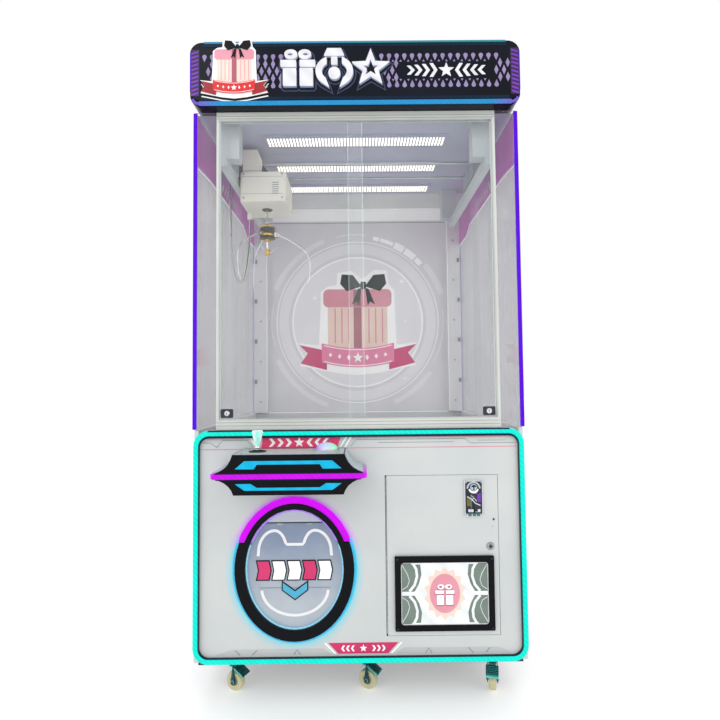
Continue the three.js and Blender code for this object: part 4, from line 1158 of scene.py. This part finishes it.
def wire_bundle():
    """The loop of wires from the rail truck to the trolley: five jackets, ties and a connector."""
    y = CLAW_AT.y
    route = [(-458.4, y, 1778), (-468, y, 1777), (-478, y, 1764), (-481, y, 1730), (-482, y + 2, 1620),
        (-478, y + 4, 1500), (-466, y + 5, 1410), (-446, y + 5, 1377), (-426, y + 4, 1402),
        (-413, y + 2, 1490), (-407, y, 1590), (-407, y, 1639)]
    path = smooth_path(route, 6)
    twist = 0.16 / (2 * math.pi)
    for k, look in enumerate(("cable_white", "cable", "cable_black", "cable_white", "cable")):
        wire = [circle(point, 2.1, 1, k / 5 + i * twist)[0] for i, point in enumerate(path)]
        made = piece(f"harness_wire_{k + 1}", tube([wire], 1.25, False, 2), look, None)
        if k == 0:
            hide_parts("harness")
        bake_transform(made)
    ties = [turned(spool((3.4, 1.4), (4.2, 1.4)), path[i], path[i + 1] - path[i - 1], 20)
        for i in (8, 20, 27)]
    piece("harness_ties", ties, "cable_black", "bridge")
    raised("harness_connector", [rect(-416, -398, y - 7, y + 7, 2)], "cable_white", 1618, 21, 1, "trolley",
        "top")


def crane_details():
    """Rollers, end stops and screws of the bridge and trolley, and the motor's cover."""
    bridge, trolley, along = Box("bridge"), Box("trolley"), (1, 0, 0)
    axle_z = bridge.low + 10.5
    spots = [(side, y) for side in (-1, 1) for y in (-158, -30)]
    rollers = [turned(spool((3, 9), (9.5, 9), (10, 8.2)), (side * 444, y, axle_z), along, 28) for side,
        y in spots]
    ends = [turned(spool((0, 1.5), (3.2, 1.5)), (side * 457.6, y, axle_z), along, 20) for side, y in spots]
    piece("bridge_rollers", rollers, "drum", "bridge")
    piece("bridge_axle_ends", ends, "zinc", "bridge")
    x, low, shoulder, hood = trolley.x, trolley.low, trolley.low + 111, -177
    seams = [rect(trolley.left + 10, trolley.right - 10, z - 0.6, z + 0.6) for z in (low + 28, low + 92)]
    vents = [rect(x + 34, x + 58, low + 28 + 8 * i, low + 31 + 8 * i, 1.4) for i in range(6)]
    gusset = [(x - 4, shoulder + 1), (x + 16, shoulder + 1), (x + 12, shoulder + 9), (x - 1, shoulder + 27)]
    layers(trolley.front, "trolley", ("trolley_seams", seams, "grey_line", -0.1, 0.4),
           ("trolley_vents", vents, "grey_line", -0.1, 0.5))
    layers(hood, "trolley",
        ("trolley_hood_seam", [rect(x - 73, x + 4, shoulder + 7, shoulder + 8.4)], "grey_line", -0.1, 0.5),
        ("trolley_gusset", [gusset], "steel_dark", 6, 4, 0.6),
        ("trolley_gusset_foot", [rect(x - 4, x + 18, shoulder - 0.5, shoulder + 3)], "steel_dark", -0.5, 12,
        0.5))
    rows = [(u, z) for u in (-70, 70) for z in (low + 14, low + 102)]
    screws("trolley_screws", shifted(rows, x), "front", trolley.front + 0.1, 3.6, body="trolley")
    rows = [(y, z) for y in (trolley.front + 24, trolley.rear - 24) for z in (low + 16, low + 98)]
    for word, base in (("left", trolley.left + 0.1), ("right", trolley.right - 0.1)):
        screws(f"trolley_{word}_screws", rows, word, base, 3.6, body="trolley")
    bushes = [turned(spool((6.9, 2.5), (11, 2.5), (11.6, 1.8)), (x + offset, y, 1800), along, 28)
              for y in (-161, -25) for offset in (-76, -5)]
    piece("trolley_bushes", bushes, "brass", "trolley")
    mouth = turned([(13, -1.4), (19, -1.4), (20, -0.4), (20, 0.4), (13, 0.4), (13, -1.4)],
                   (CLAW_AT.x, CLAW_AT.y, low - 0.2), steps=36)
    piece("trolley_mouth", mouth, "steel_dark", "trolley")
    rack = [rect(*sorted((side * 434, side * 438)), y, y + 4) for side in (-1, 1)
        for y in range(-350, 354, 8)]
    raised("rail_teeth", rack, "steel_dark", Box("rail_left").low + 30.1, 1.6, side="top")


# ---- console
def console_inlays():
    """Cyan light inlays above and below the console's light band, in shallow black frames."""
    shell, lamp_box = Box("console_shell"), Box("console_lamp")
    face, x = shell.front + 0.3, shell.x
    for word, half in (("high", [(126, 769), (153, 746), (99, 745.5), (90, 758.5)]),
                       ("low", [(126, 685), (153, 704), (108, 704.5), (90, 693)])):
        loop = shifted(half + mirrored(half), x)
        layers(face, "root", (f"console_inlay_frame_{word}", [grown(loop, 2.4), loop], "black", 0, 1.6, 0.4),
               (f"console_inlay_{word}", [loop], "inlay", 0, 0.9))
    rims = [rect(shell.left + 6, shell.right - 6, z - 1.2, z + 1.2)
        for z in (lamp_box.low - 2.4, lamp_box.high + 2.4)]
    raised("console_band_rims", rims, "navy", face, 2.2, 0.4)


def console_shoulders():
    """Pale skin on the console's upper shoulders, set back behind its black face."""
    shell = Box("console_shell")
    steps, depth = 12, 138
    foot, bend, crown = Vector((213, 734)), Vector((173.5, 744)), Vector((161.5, shell.high - 1))
    points = []
    for i in range(steps + 1):
        t = i / steps
        u, v = (1 - t) ** 2 * foot + 2 * t * (1 - t) * bend + t * t * crown
        points.append((shell.x + u + 1.4, v + 0.7))
    for word, line in (("right", points), ("left", mirrored(points, shell.x))):
        skin = plate([band(line, 2)], "front", shell.front + 10 + depth, depth)
        piece(f"console_side_skin_{word}", skin, "deck", bevel=0.3)


def deck_details():
    """Deck inlay, screws, the joystick's boot and the button's chrome ring."""
    deck, button, stick = Box("console_deck"), Box("drop_button"), PIVOT["joystick_side"]
    top, r = Box("console_shell").high, button.size.x / 2
    outline = rect(deck.left + 7, deck.right - 7, deck.front + 7, deck.rear - 7, 8)
    holes = [ellipse(stick.x, stick.y, 27, steps=40), ellipse(button.x, button.y, r + 6, steps=40)]
    edge = rect(deck.x + 151, deck.x + 158.4, deck.front, deck.rear)
    layers(top, "root", ("console_top_strips", [edge, mirrored(edge, deck.x)], "deck", -0.1, 0.5),
           ("deck_inlay", [outline] + holes, "pale_line", -0.1, 0.5), side="top")
    spots = [(u, v) for u in (deck.left + 14, deck.right - 14) for v in (deck.front + 14, deck.rear - 14)]
    screws("deck_screws", spots, "top", top + 0.3, 3.6)
    low = top + 4.8
    ring = [(r + 1.4, low), (r + 3.6, low), (r + 4, low + 1), (r + 2.8, low + 3), (r + 1.5, low + 3),
        (r + 1.4, low)]
    piece("button_ring", turned(ring, (button.x, button.y, 0), steps=48), "chrome")
    boot = [(16.6, top - 0.4), (25, top - 0.4), (26, top + 1), (25, top + 2.6), (18, top + 4),
        (16.8, top + 4.4), (16.6, top - 0.4)]
    piece("joystick_boot", turned(boot, (stick.x, stick.y, 0), steps=40), "rubber")


def knob_facets():
    """Joystick: plated shaft, collar and a cut crystal that flares to a crown, its rim pale with the
    crystal's painted sheen.
    """
    x, y = PIVOT["joystick_side"].xy
    body, sides = "joystick_stick", 9
    shaft = [(0, 742), (4.4, 742), (5, 743), (5, 770), (5, 798), (6.5, 799), (0, 799)]
    stand_for(piece("joystick_shaft", turned(shaft, (x, y, 0), steps=32), "chrome", body), body)
    collar = [(0, 795), (8.4, 795), (9.2, 796.5), (9.2, 801), (7.8, 803), (0, 803)]
    piece("joystick_collar", turned(collar, (x, y, 0), steps=32), "chrome", body)
    shape = bmesh.new()
    levels = [(5.6, 800, 0), (8.6, 812, 0.5), (13.4, 829, 0), (17.4, 844, 0.5), (15.6, 849.6, 0),
        (9, 851, 0.5)]
    rings = [[shape.verts.new(Vector(point) * MM) for point in circle((x, y, z), r, sides, shift)]
             for r, z, shift in levels]
    for (_, _, shift), first, second in zip(levels, rings, rings[1:]):
        for k in range(sides):
            n = (k + 1) % sides
            shape.faces.new([first[k], first[n], second[n] if shift else second[k]])
            shape.faces.new([first[k] if shift else first[n], second[n], second[k]])
    for ring in (rings[0], rings[-1]):
        shape.faces.new(ring)
    knob = piece("joystick_knob", closed_mesh(shape), "crystal", body, bevel=0.35, crease=5)


def drop_button():
    """Drop button: a skirted plunger with a ribbed dome."""
    box = Box("drop_button")
    r, skirt, rise, steps = box.size.x / 2, box.high - 18, 18, 12
    dome = r - 0.8
    profile = [(0, box.low), (r - 0.6, box.low), (r, box.low + 1), (r, skirt - 2), (dome, skirt)]
    profile += [(u, skirt + v) for u, v in arc(0, 0, dome, rise, 0, 90, steps)[1:-1]] + [(0, skirt + rise)]
    made = piece("drop_dome", turned(profile, (box.x, box.y, 0), steps=64), "button", "drop_button",
        crease=50)
    stand_for(made, "drop_button")
    ribs = []
    for share in (0.42, 0.64, 0.84):
        z = skirt + rise * math.sqrt(1 - share ** 2) - 0.5
        ribs.append(tube([circle((box.x, box.y, z), dome * share, 48)], 0.8, True, 2))
    piece("drop_ribs", ribs, "ice_lamp", "drop_button")


# ---- prize opening
def prize_opening():
    """Inner glow round the opening, the flap's printed lines, blocks and arrow, and the hinge clips."""
    x, z, flap, body = -204, 412, Box("prize_flap"), "prize_flap"

    def crescent(far, near, start, end, steps):
        return arc(x, z, *far, start, end, steps) + arc(x, z, *near, end, start, steps)

    high = crescent((152.6, 184.6), (146.8, 178.6), 28, 152, 30)
    low = crescent((152.6, 184.6), (148.2, 180), 156, 384, 48)
    rim = crescent((194.4, 226.4), (188.6, 220.6), 155, 385, 60)
    layers(Box("prize_ring").rear, "root", ("opening_glow_high", [high], "lilac_lamp", 0.2, 3.5),
           ("opening_glow_low", [low], "ice_lamp", 0.2, 3))
    raised("ring_rim_low", [rim], "cyan_rim", Box("front_panel").front + 0.1, 3, 0.4)
    left, right = -319, -89
    line = [(left, 450)] + arc(-267, 462, 51, 67, 180, 90, 9) + arc(-267, 462, 38, 67, 80, 26,
        6) + [(-229, 486)]
    blocks = [chevron(-322 + 48 * i, 406, 28, 36, 6) for i in range(5)]
    arrow = [(x, 318), (x + 38, 346), (x + 38, 368), (x, 341), (x - 38, 368), (x - 38, 346)]
    layers(flap.front + 0.1, body,
           ("flap_line_high", [band(line + mirrored(line, x), 9)], "print_soft", 0, 0.6),
           ("flap_line_low", [band(arc(x, 350, 104, 82, 184, 356, 26), 9)], "print_soft", 0, 0.6),
           ("flap_crease", [rect(left + 4, right - 4, 351, 353)], "grey_line", 0, 0.4),
           ("flap_blocks_magenta_print", [blocks[0], blocks[3]], "magenta_print", 1, 0.7, 0.2),
           ("flap_blocks_print_white", [blocks[1], blocks[2], blocks[4]], "print_white", 1, 0.7, 0.2),
           ("flap_blocks_edge", [grown(block, 3.6) for block in blocks], "ink", 0, 1.2, 0.3),
           ("flap_arrow_edge", [grown(arrow, 3.6)], "ink", 0, 1.2, 0.3),
           ("flap_arrow", [arrow], "teal_print", 1, 0.7, 0.2))
    hinge = PIVOT["flap_swing"]
    knuckles = [turned(spool((0, 9), (3.4, 9), (3.8, 8)), (u, hinge.y, hinge.z), (1, 0, 0), 20)
                for u in (-330, -250, -158, -78)]
    piece("flap_knuckles", knuckles, "zinc", body)


# ---- front sheet's lines and banners
def front_graphics():
    """Thin printed lines, the red banner with its white cuts and the pink one at the foot."""
    face, left, right = Box("front_panel").front + 0.1, -497, 497
    red = [(-308, 786), (-69, 786), (-56, 822), (-303, 822)]
    cuts = [[(u, 788), (u + 6, 788), (u + 26, 820), (u + 20, 820)] for u in (-62, -47)]
    cuts.append([(-345, 820), (-339, 820), (-319, 788), (-325, 788)])
    marks = [chevron(u, 804, 13, 10, 11, 1 if u < -188 else -1) for u in (-284, -258, -232, -94, -119, -144)]
    pink = [band(line, width) for width, line in (
        (2, [(left, 817), (-360, 817)]), (2.4, [(left, 784), (-314, 784)]), (2, [(-24, 817), (right, 817)]),
        (2.4, [(-58, 785), (right, 785)]))]
    tech = [band(line, width) for width, line in (
        (1.6, [(left, 805), (-468, 805), (-452, 793), (-440, 793)]), (1.6, [(60, 801), (300, 801)]),
        (1.8, [(-450, 789), (-430, 812), (-352, 812), (-334, 790)]), (1.4, [(376, 805), (right - 30, 805)]),
        (1.8, [(-26, 790), (-8, 811), (336, 811), (352, 797), (right, 797)]))]
    foot = [star(8, 167, 12, 5)]
    for side in (-1, 1):
        foot += [chevron(8 + side * (12 + 15 * i), 167, 9, 6, 6, side) for i in (1, 2, 3)]
        foot.append([(8 + side * u, z) for u, z in ((84, 151), (90, 151), (122, 184), (116, 184))])
    pale = [[(-453, 150), (-90, 150), (-118, 168), (-398, 167)],
        [(106, 150), (469, 150), (430, 167), (134, 168)]]
    ticks = [band(line, 3.2) for line in (
        [(-390, 164), (-375, 150)], [(-337, 150), (-322, 164)], [(-208, 150), (-198, 165), (-188, 150)],
        [(201, 150), (211, 166), (221, 150)], [(334, 166), (349, 150)], [(388, 150), (401, 165)])]
    lamp_box, edge = Box("front_lamp"), 16.3
    high, low, side = lamp_box.high - edge, lamp_box.low + edge, lamp_box.right - edge
    inner = rect(3 - side, side - 3, low + 1.6, high - 6.5, 30, 10)
    layers(face, "root", ("front_banner", [red], "pink", 0, 0.5),
        ("front_banner_cuts", cuts, "print_white", 0, 0.5),
        ("front_banner_marks", marks + [star(-188, 804, 17, 7.2)], "print_white", 0.3, 0.5),
        ("front_pink_lines", pink, "pink_line", 0, 0.4), ("front_tech_lines", tech, "grey_line", 0, 0.4),
        ("foot_banner", [[(-101, 184), (117, 184), (85, 151), (-70, 151)]], "magenta_print", 0, 0.5),
        ("foot_banner_marks", foot, "print_white", 0.3, 0.5), ("foot_pale_bands", pale, "pale_line", 0, 0.3),
        ("foot_ticks", ticks, "grey_line", 0.2, 0.3),
        ("front_inner_line", [rect(-side, side, low, high, 33, 10), inner], "navy", 0, lamp_box.size.y, 0.6))
    top = rect(lamp_box.left + 46, lamp_box.right - 46, lamp_box.high - 3.2, lamp_box.high + 0.7)
    raised("front_outer_line", [top], "navy", lamp_box.rear + 0.1, lamp_box.size.y + 0.7, 0.3)


# ---- service door
def coin_plate_trim():
    """Coin plate: bright rim, dark field, crescent round the return button, V ramp, slot and return cup."""
    box, button, body = Box("coin_plate"), Box("coin_button"), "service_door"
    face, x, low, high = Box("service_door").front - 4.9, box.x, box.low, box.high
    inner = rect(box.left + 2.6, box.right - 2.6, low + 9, high - 3, 3, 4)
    rim = [rect(box.left + 0.6, box.right - 0.6, low + 0.6, high - 0.6, 3, 4), inner]
    field = [grown(inner, -0.3), ellipse(x, 659, 12.4, steps=40), rect(x - 9.2, x + 9.2, 594, 640)]
    arch = arc(x, 655, 22, 22, 0, 180, 20) + arc(x, 655, 17, 17, 180, 0, 20)
    moon = arc(x, 655, 16, 15, 190, 350, 20) + arc(x, 659, 12.6, 12.6, 340, 200, 20)
    gold = [(x - 22, 631), (x - 10, 625), (x - 10, 601), (x - 22, 601)]
    violet = [(x + 10, 636), (x + 22, 642), (x + 22, 612), (x + 10, 616)]
    ramp = band([(x - 21, 631), (x - 6, 622), (x + 4, 610), (x + 20, 603)], 3)
    steps = [rect(x + u, x + u + 8, 582, 591, 1.5) for u in (-18, -9.5, 4, 12)]
    cups = [rect(x + u, x + u + 12, 569.5, 578.5, 3) for u in (-19, -5, 8)]
    layers(face, body, ("coin_rim", rim, "chrome", 0, 1.6, 0.4), ("coin_field", field, "steel_dark", 0, 0.5),
        ("coin_arch", [arch], "deck", 0.3, 0.9, 0.2), ("coin_moon", [moon], "print_white", 0.3, 1.2, 0.3),
        ("coin_ramp_gold", [gold], "olive", 0.3, 1.2, 0.3), ("coin_ramp", [ramp], "chrome", 0.3, 3.6, 0.4),
        ("coin_ramp_violet", [violet], "violet", 0.3, 0.9, 0.2),
        ("coin_lower_slot", [rect(x - 2.6, x + 2.6, 582, 594)], "ink", 0.3, 0.9),
        ("coin_steps", steps, "chrome", 0.3, 1.4, 0.4), ("coin_cups", cups, "teal_dark", 1.4, 0.9, 0.3))
    spots = [(x + du, z) for du in (-24, 24) for z in (low + 6, high - 5)]
    screws("coin_screws", spots, "front", face - 1.5, 3, body=body)
    lines = [band([(x - 8, 634), (x - 1, 628), (x - 7, 618)], 2), band([(x - 1, 628), (x + 8, 616)], 2)]
    layers(box.front, body,
           ("coin_bezel", [rect(x - 8.7, x + 8.7, 594.3, 639.7, 2)], "steel_dark", -0.1, 0.5),
           ("coin_bezel_slot", [rect(x - 1.6, x + 1.6, 596, 620, 1.4)], "ink", 0.3, 0.4),
           ("coin_bezel_lines", lines, "chrome", 0.3, 0.8, 0.2))
    u, v = button.x, button.z
    cap = [(0, 9), (8.6, 9), (9.6, 8.4), (10.2, 7.4), (11, 1), (11, 0), (0, 0)]
    stand_for(piece("coin_button_cap", turned(cap, (u, button.rear, v), (0, -1, 0), 40), "deck",
        "coin_button"), "coin_button")
    upper = arc(u, v, 8.2, 8.2, 8, 84, 10) + [(u + 1.8, v + 1.2)]
    layers(button.front, "coin_button",
           ("coin_button_slot", [rect(u - 1.8, u + 1.8, v - 8, v + 8, 1.6)], "ink", -0.1, 0.5),
           ("coin_button_shade", [upper, mirrored(upper, u)], "steel_dark", -0.1, 0.4))


def door_trim():
    """Hinge barrel in the door's left gap, folded lips, lock escutcheon and a small vent pin."""
    door, lock, body, forward = Box("service_door"), Box("door_lock"), "service_door", (0, -1, 0)
    count, gap = 24, 0.8
    length = (door.high - door.low - 8) / count
    knuckle = [(0, gap / 2), (1.7, gap / 2), (1.9, 0.8), (1.9, length - 0.8), (1.7, length - gap / 2),
               (0, length - gap / 2)]
    hinge = [turned(knuckle, (door.left - 2.2, door.front + 2, door.low + 4 + length * i), steps=14)
             for i in range(count)]
    piece("door_hinge_root", hinge[::2], "zinc")
    piece("door_hinge", hinge[1::2], "zinc", body)
    lip = [rect(door.left + edge, door.right - edge, door.low + edge, door.high - edge)
        for edge in (0.6, 2.4)]
    raised("door_lip", lip, "zinc", door.rear - 0.2, 12, 0.3, body, "rear")
    x, z = 409, 475
    ring = [(9.8, -0.6), (12.4, -0.6), (12.8, 0.4), (11.8, 2), (9.8, 2.4), (9.8, -0.6)]
    key_ring = [(4.6, 0), (5.6, 0), (5.6, 0.9), (4.6, 0.9), (4.6, 0)]
    pin = [(0, -0.5), (3.4, -0.5), (3.4, 0.6), (2.4, 1.6), (0, 1.6)]
    for name, profile, centre, steps, look, rides in (("lock_ring", ring, (x, door.front, z), 40, "zinc",
            body),
            ("lock_face", [(0, 0), (7.4, 0), (7.4, 0.5), (0, 0.5)], (x, lock.front + 0.2, z), 32,
            "steel_dark", "door_lock"),
            ("lock_face_ring", key_ring, (x, lock.front + 0.2, z), 32, "zinc", "door_lock"),
            ("door_pin", pin, (421, door.front, 558), 20, "steel_dark", body)):
        piece(name, turned(profile, centre, forward, steps), look, rides)
    raised("lock_keyway", [rect(x - 0.9, x + 0.9, z - 3.6, z + 3.6)], "ink", lock.front - 0.2, 0.4, 0,
        "door_lock")
    raised("door_mark", [ellipse(417, 536, 3.2, steps=20)], "pale_line", door.front + 0.1, 0.4, 0, body)


def display_web():
    """Display case: grey-green print with a white centre and web, and a gift on a pink burst."""
    box, body = Box("display_window"), "service_door"
    x, z, border, face = box.x, box.z, 19, Box("service_door").front - 4.9
    half_w, half_h = box.size.x / 2 - border, box.size.z / 2 - border
    window = rect(x - half_w, x + half_w, z - half_h, z + half_h, 8, 5)
    bow = ((96, 2), (80, 30), (72, 58), (76, half_h - 1))
    web = ((110, 7), (94, 26), (86, 52), (88, 74), (98, half_h - 3))
    loop = ((132, half_h - 8), (116, 60), (110, 40), (116, 22), (132, 12))
    shield, threads, faint = [], [], []
    for side, up in ((1, 1), (-1, 1), (-1, -1), (1, -1)):
        bowed, outer, inner = [[(x + side * u, z + up * v) for u, v in line] for line in (bow, web, loop)]
        shield += bowed if side == up else bowed[::-1]
        threads.append([band(outer, 8)])
        faint.append([band(inner, 1.6)])
    for side in (-1, 1):
        threads.append([rect(*sorted((x + side * 92, x + side * half_w)), z - 6, z + 6)])
        threads.append([rect(x - 104, x + 104,
            *sorted((z + side * (half_h - 6), z + side * (half_h - 0.4))))])
    icon("display_threads", threads, "screen_line", face - 0.4, 0.4, body=body, bevel=0)
    icon("display_fine_threads", faint, "screen_line", face - 0.2, 0.3, body=body, bevel=0)
    angles = [2 * math.pi * i / 28 for i in range(28)]
    burst = [(x + (66 if i % 2 else 54) * math.cos(a), z + (82 if i % 2 else 68) * math.sin(a))
             for i, a in enumerate(angles)]
    layers(face, body, ("display_print", [window], "screen", 0, 0.3),
        ("display_shield", [shield], "screen_line", 0.2, 0.3), ("display_burst", [burst], "cream", 0.4, 0.4),
        ("display_disc", [ellipse(x, z, 47, 60, 48)], "rose", 0.7, 0.4),
        ("display_lip", [window, grown(window, -2.4)], "print_soft", 0, 1.4, 0.2))
    icon("display_gift", gift_outline(x, z - 4, 60), "print_white", face - 1.0, 0.5, body=body, bevel=0.1)
    shade = [[group[0]] for group in gift_outline(x, z - 6, 60)]
    icon("display_gift_shade", shade, "rose_dark", face - 0.8, 0.4, 1.4, body=body, bevel=0)
    corners = [(x + du * (box.size.x / 2 - 8), z + dv * (box.size.z / 2 - 8)) for du in (-1, 1)
        for dv in (-1, 1)]
    screws("display_screws", corners, "front", box.front + 0.1, 3, "steel_dark", body)


# ---- casters
def caster_wheels():
    """Cream wheels with a crowned tread, a hub, side rings and a zinc axle."""
    tread = spool((14, 10), (26, 11.6), (28.6, 10.8), (29.7, 8), (30, 3))
    hub = spool((4.2, 12), (9, 12), (10, 10.4), (13, 8.6), (16, 9.4), (20, 10.6), (21.4, 10.9), (21.4, 9))
    axle = spool((0, 18.4), (4.6, 18.4), (5.6, 17.6), (5.6, 15.4), (3.9, 15.2))
    for word in CASTER_NAMES:
        body, centre = "wheel_" + word, PIVOT["roll_" + word]
        axis = next(joint["axis"] for joint in frame["joints"] if joint["name"] == "roll_" + word)
        stand_for(piece(f"tread_{word}", turned(tread, centre, axis, 56), "wheel", body), body)
        piece(f"hub_{word}", turned(hub, centre, axis, 48), "hub", body)
        piece(f"axle_{word}", turned(axle, centre, axis, 24), "zinc", "fork_" + word)


def caster_details():
    """Swivel races, pad bolts, and the ridges of the brake pedals."""
    race = [(9, 84), (21, 84), (23, 86), (23.4, 89.5), (22, 91.6), (17, 93), (9, 93), (9, 84)]
    pedal_slope = 0.594
    for word in CASTER_NAMES:
        swivel, roll = PIVOT["swivel_" + word], PIVOT["roll_" + word]
        piece(f"race_{word}", turned(race, (swivel.x, swivel.y, 0), steps=40), "zinc", "fork_" + word)
        spots = [(swivel.x + du, swivel.y + dv) for du in (-28, 28) for dv in (-22, 22)]
        screws(f"pad_bolts_{word}", spots, "bottom", Box("base_frame").low + 0.1, 3.4)
        if "front" in word:
            ridges = []
            for i in range(6):
                near, far = [(u, 78.1 - (u - 34) * pedal_slope) for u in (36.5 + 4.8 * i, 39 + 4.8 * i)]
                ridges.append(plate([[near, far, *shifted([far, near], 0.7, 1.3)]], "front", 17.5, 35))
            mesh = together(*ridges)
            heading = math.atan2(roll.y - swivel.y, roll.x - swivel.x)
            mesh.transform(Matrix.Translation((swivel.x * MM, swivel.y * MM, 0))
                @ Matrix.Rotation(heading, 4, "Z"))
            piece(f"pedal_ridges_{word}", mesh, "zinc_teal", "pedal_" + word, bevel=0.4)


# ---- rear, sides and roof
def rear_and_sides():
    """Screws, corner angles and vents where the cabinet's boards meet."""
    rear, roof, wall, sign = Box("rear_panel"), Box("roof"), Box("rear_wall"), Box("header_box")
    for word, side in SIDES:
        box = Box("side_panel_" + word)
        base = (box.left if side < 0 else box.right) - side * 0.1
        levels = [box.low + 30 + i * (box.high - box.low - 60) / 4 for i in range(5)]
        spots = [(y, z) for y in (box.front + 22, box.rear - 22) for z in levels]
        screws(f"side_screws_{word}", spots, word, base, 4.6)
        line = [rect(box.front + margin, box.rear - margin, box.low + margin + 10, box.high - margin - 10,
            corner) for margin, corner in ((60, 26), (64, 23))]
        rows = [box.low + 150 + 16 * i for i in range(9)]
        layers(base, "root", (f"side_panel_line_{word}", line, "pale_line", 0, 0.5),
            (f"rear_corner_{word}", [rect(box.rear - 26, box.rear + 0.4, box.low + 2, box.high - 2)], "zinc",
            0, 1.2, 0.3), (f"side_vent_{word}", [rect(60, 220, z, z + 5, 2.4) for z in rows], "ink", 0, 0.5),
            (f"side_vent_lips_{word}", [rect(58, 222, z + 5.2, z + 8.6, 1.6) for z in rows], "board", 0, 3.2,
            0.8), side=word)
    spots = [(x, z) for x in (-488, -244, 0, 244, 488) for z in (rear.low + 18, rear.high - 18)]
    spots += [(x, z) for x in (-488, 488) for z in (300, 484, 668)]
    screws("rear_screws", spots, "rear", rear.rear - 0.1, 4.6)
    upright = (roof.low + 12, roof.high - 1)
    flank = rect(roof.front + 2, roof.rear - 1, *upright)
    for word, loop, base in (("left", flank, roof.left + 0.1), ("right", flank, roof.right - 0.1),
                             ("rear", rect(roof.left + 1, roof.right - 1, *upright), roof.rear - 0.1),
                             ("top", rect(roof.left + 1, roof.right - 1, roof.front + 2, roof.rear - 1),
                              roof.high - 0.1)):
        raised(f"roof_skin_{word}", [loop], "white", base, 1, 0.4, side=word)
    raised("rear_wall_skin", [rect(wall.left + 1, wall.right - 1, wall.low + 2, wall.high - 2)], "board",
           wall.rear - 0.1, 0.8, 0.3, side="rear")
    posts = [(x, z) for x in (-500, 500) for z in (900, 1130, 1360, 1590, 1820)]
    screws("rear_wall_screws", posts, "rear", wall.rear + 0.6, 4.6)
    tops = [(x, roof.rear - 18) for x in (-500, -250, 0, 250, 500)]
    tops += [(x, y) for x in (-500, 500) for y in (-200, 0, 200, 400)]
    screws("roof_screws", tops, "top", roof.high + 0.8, 4.6)
    seams = [(x, y) for x in (-500, 0, 500) for y in (sign.front + 24, sign.rear - 20)]
    screws("sign_screws", seams, "top", sign.high - 0.1, 4.2, "steel_dark")


# ---- floor, light and camera
def floor_finish():
    """Pale studio floor with a faint mottled tone."""
    shade = Shader("floor", Roughness=0.55, Emission_Strength=0.42)
    slow = shade.noise(0.8, 4)
    fine = shade.noise(40, 3)
    tone = shade.blend(shade.remap(slow, 0, 1), colour("#E0E0E2"), colour("#E6E6E6"))
    shade.set("Base Color", tone)
    shade.set("Emission Color", tone)
    shade.set("Roughness", shade.remap(fine, 0.5, 0.62))
    shade.bump(fine, 0.0004, 0.2)
    return shade.material


def floor():
    """A large flat slab under the casters."""
    reach = 30000
    piece("floor", plate([rect(-reach, reach, -reach, reach)], "top", -40, 39.8), "floor", None)


def lights():
    """Four soft area lights aimed at the machine's middle, in a white studio."""
    target = Vector((0, 0, 1.0))
    for name, place, size, power in (
            ("key", (-2.6, -3.6, 3.4), (3.0, 2.4), 34), ("fill", (3.2, -3.0, 2.4), (2.6, 2.6), 22),
            ("high", (0, 0.8, 4.6), (4.0, 3.0), 26), ("behind", (0.6, 4.2, 2.6), (3.0, 2.4), 8)):
        light = bpy.data.lights.new(name, "AREA")
        light.shape = "RECTANGLE"
        light.size, light.size_y = size
        light.energy = power
        holder = bpy.data.objects.new(name, light)
        holder.location = place
        holder.rotation_euler = (target - Vector(place)).to_track_quat("-Z", "Y").to_euler()
        bpy.context.scene.collection.objects.link(holder)
    world = bpy.data.worlds.new("studio")
    bpy.context.scene.world = world
    world.use_nodes = True
    sky = world.node_tree.nodes["Background"].inputs
    sky["Color"].default_value, sky["Strength"].default_value = (1.0, 1.0, 1.0, 1), 1.0


def camera():
    """A phone's wide lens at chest height, tipped up a little and level to half a degree."""
    lens = bpy.data.cameras.new("camera")
    lens.sensor_width, lens.lens = 36, 26
    pitch, roll, yaw = (math.radians(a) for a in (2.51, 0.58, 0.22))
    ahead = Vector((0, math.cos(pitch), math.sin(pitch)))
    above = Vector((0, -math.sin(pitch), math.cos(pitch)))
    right = Vector((1, 0, 0))
    x = right * math.cos(roll) - above * math.sin(roll)
    y = right * math.sin(roll) + above * math.cos(roll)
    turn = Matrix((x, y, -ahead)).transposed()
    holder = bpy.data.objects.new("camera", lens)
    holder.matrix_world = Matrix.Translation((0, -2.057, 0.990)) @ (Matrix.Rotation(-yaw, 3, "Z")
        @ turn).to_4x4()
    bpy.context.scene.collection.objects.link(holder)
    bpy.context.scene.camera = holder


LOOK["floor"] = floor_finish()
for build in (dress_nodes, sign_lamps, sign_caps, sign_lattice, sign_emblem, sign_glyphs, sign_side_mark,
        corner_lamps, side_films, sliding_glass_edges, lamp_chips, ceiling, case_trim, rear_art, prongs,
        claw_body, claw_slider, twisted_cord, wire_bundle, crane_details, console_inlays, console_shoulders,
        deck_details, knob_facets, drop_button, prize_opening, front_graphics, coin_plate_trim, door_trim,
        display_web, caster_wheels, caster_details, rear_and_sides, floor, lights, camera):
    build()
scene = bpy.context.scene
scene.view_settings.view_transform = "Standard"
scene.cycles.transparent_max_bounces = 24
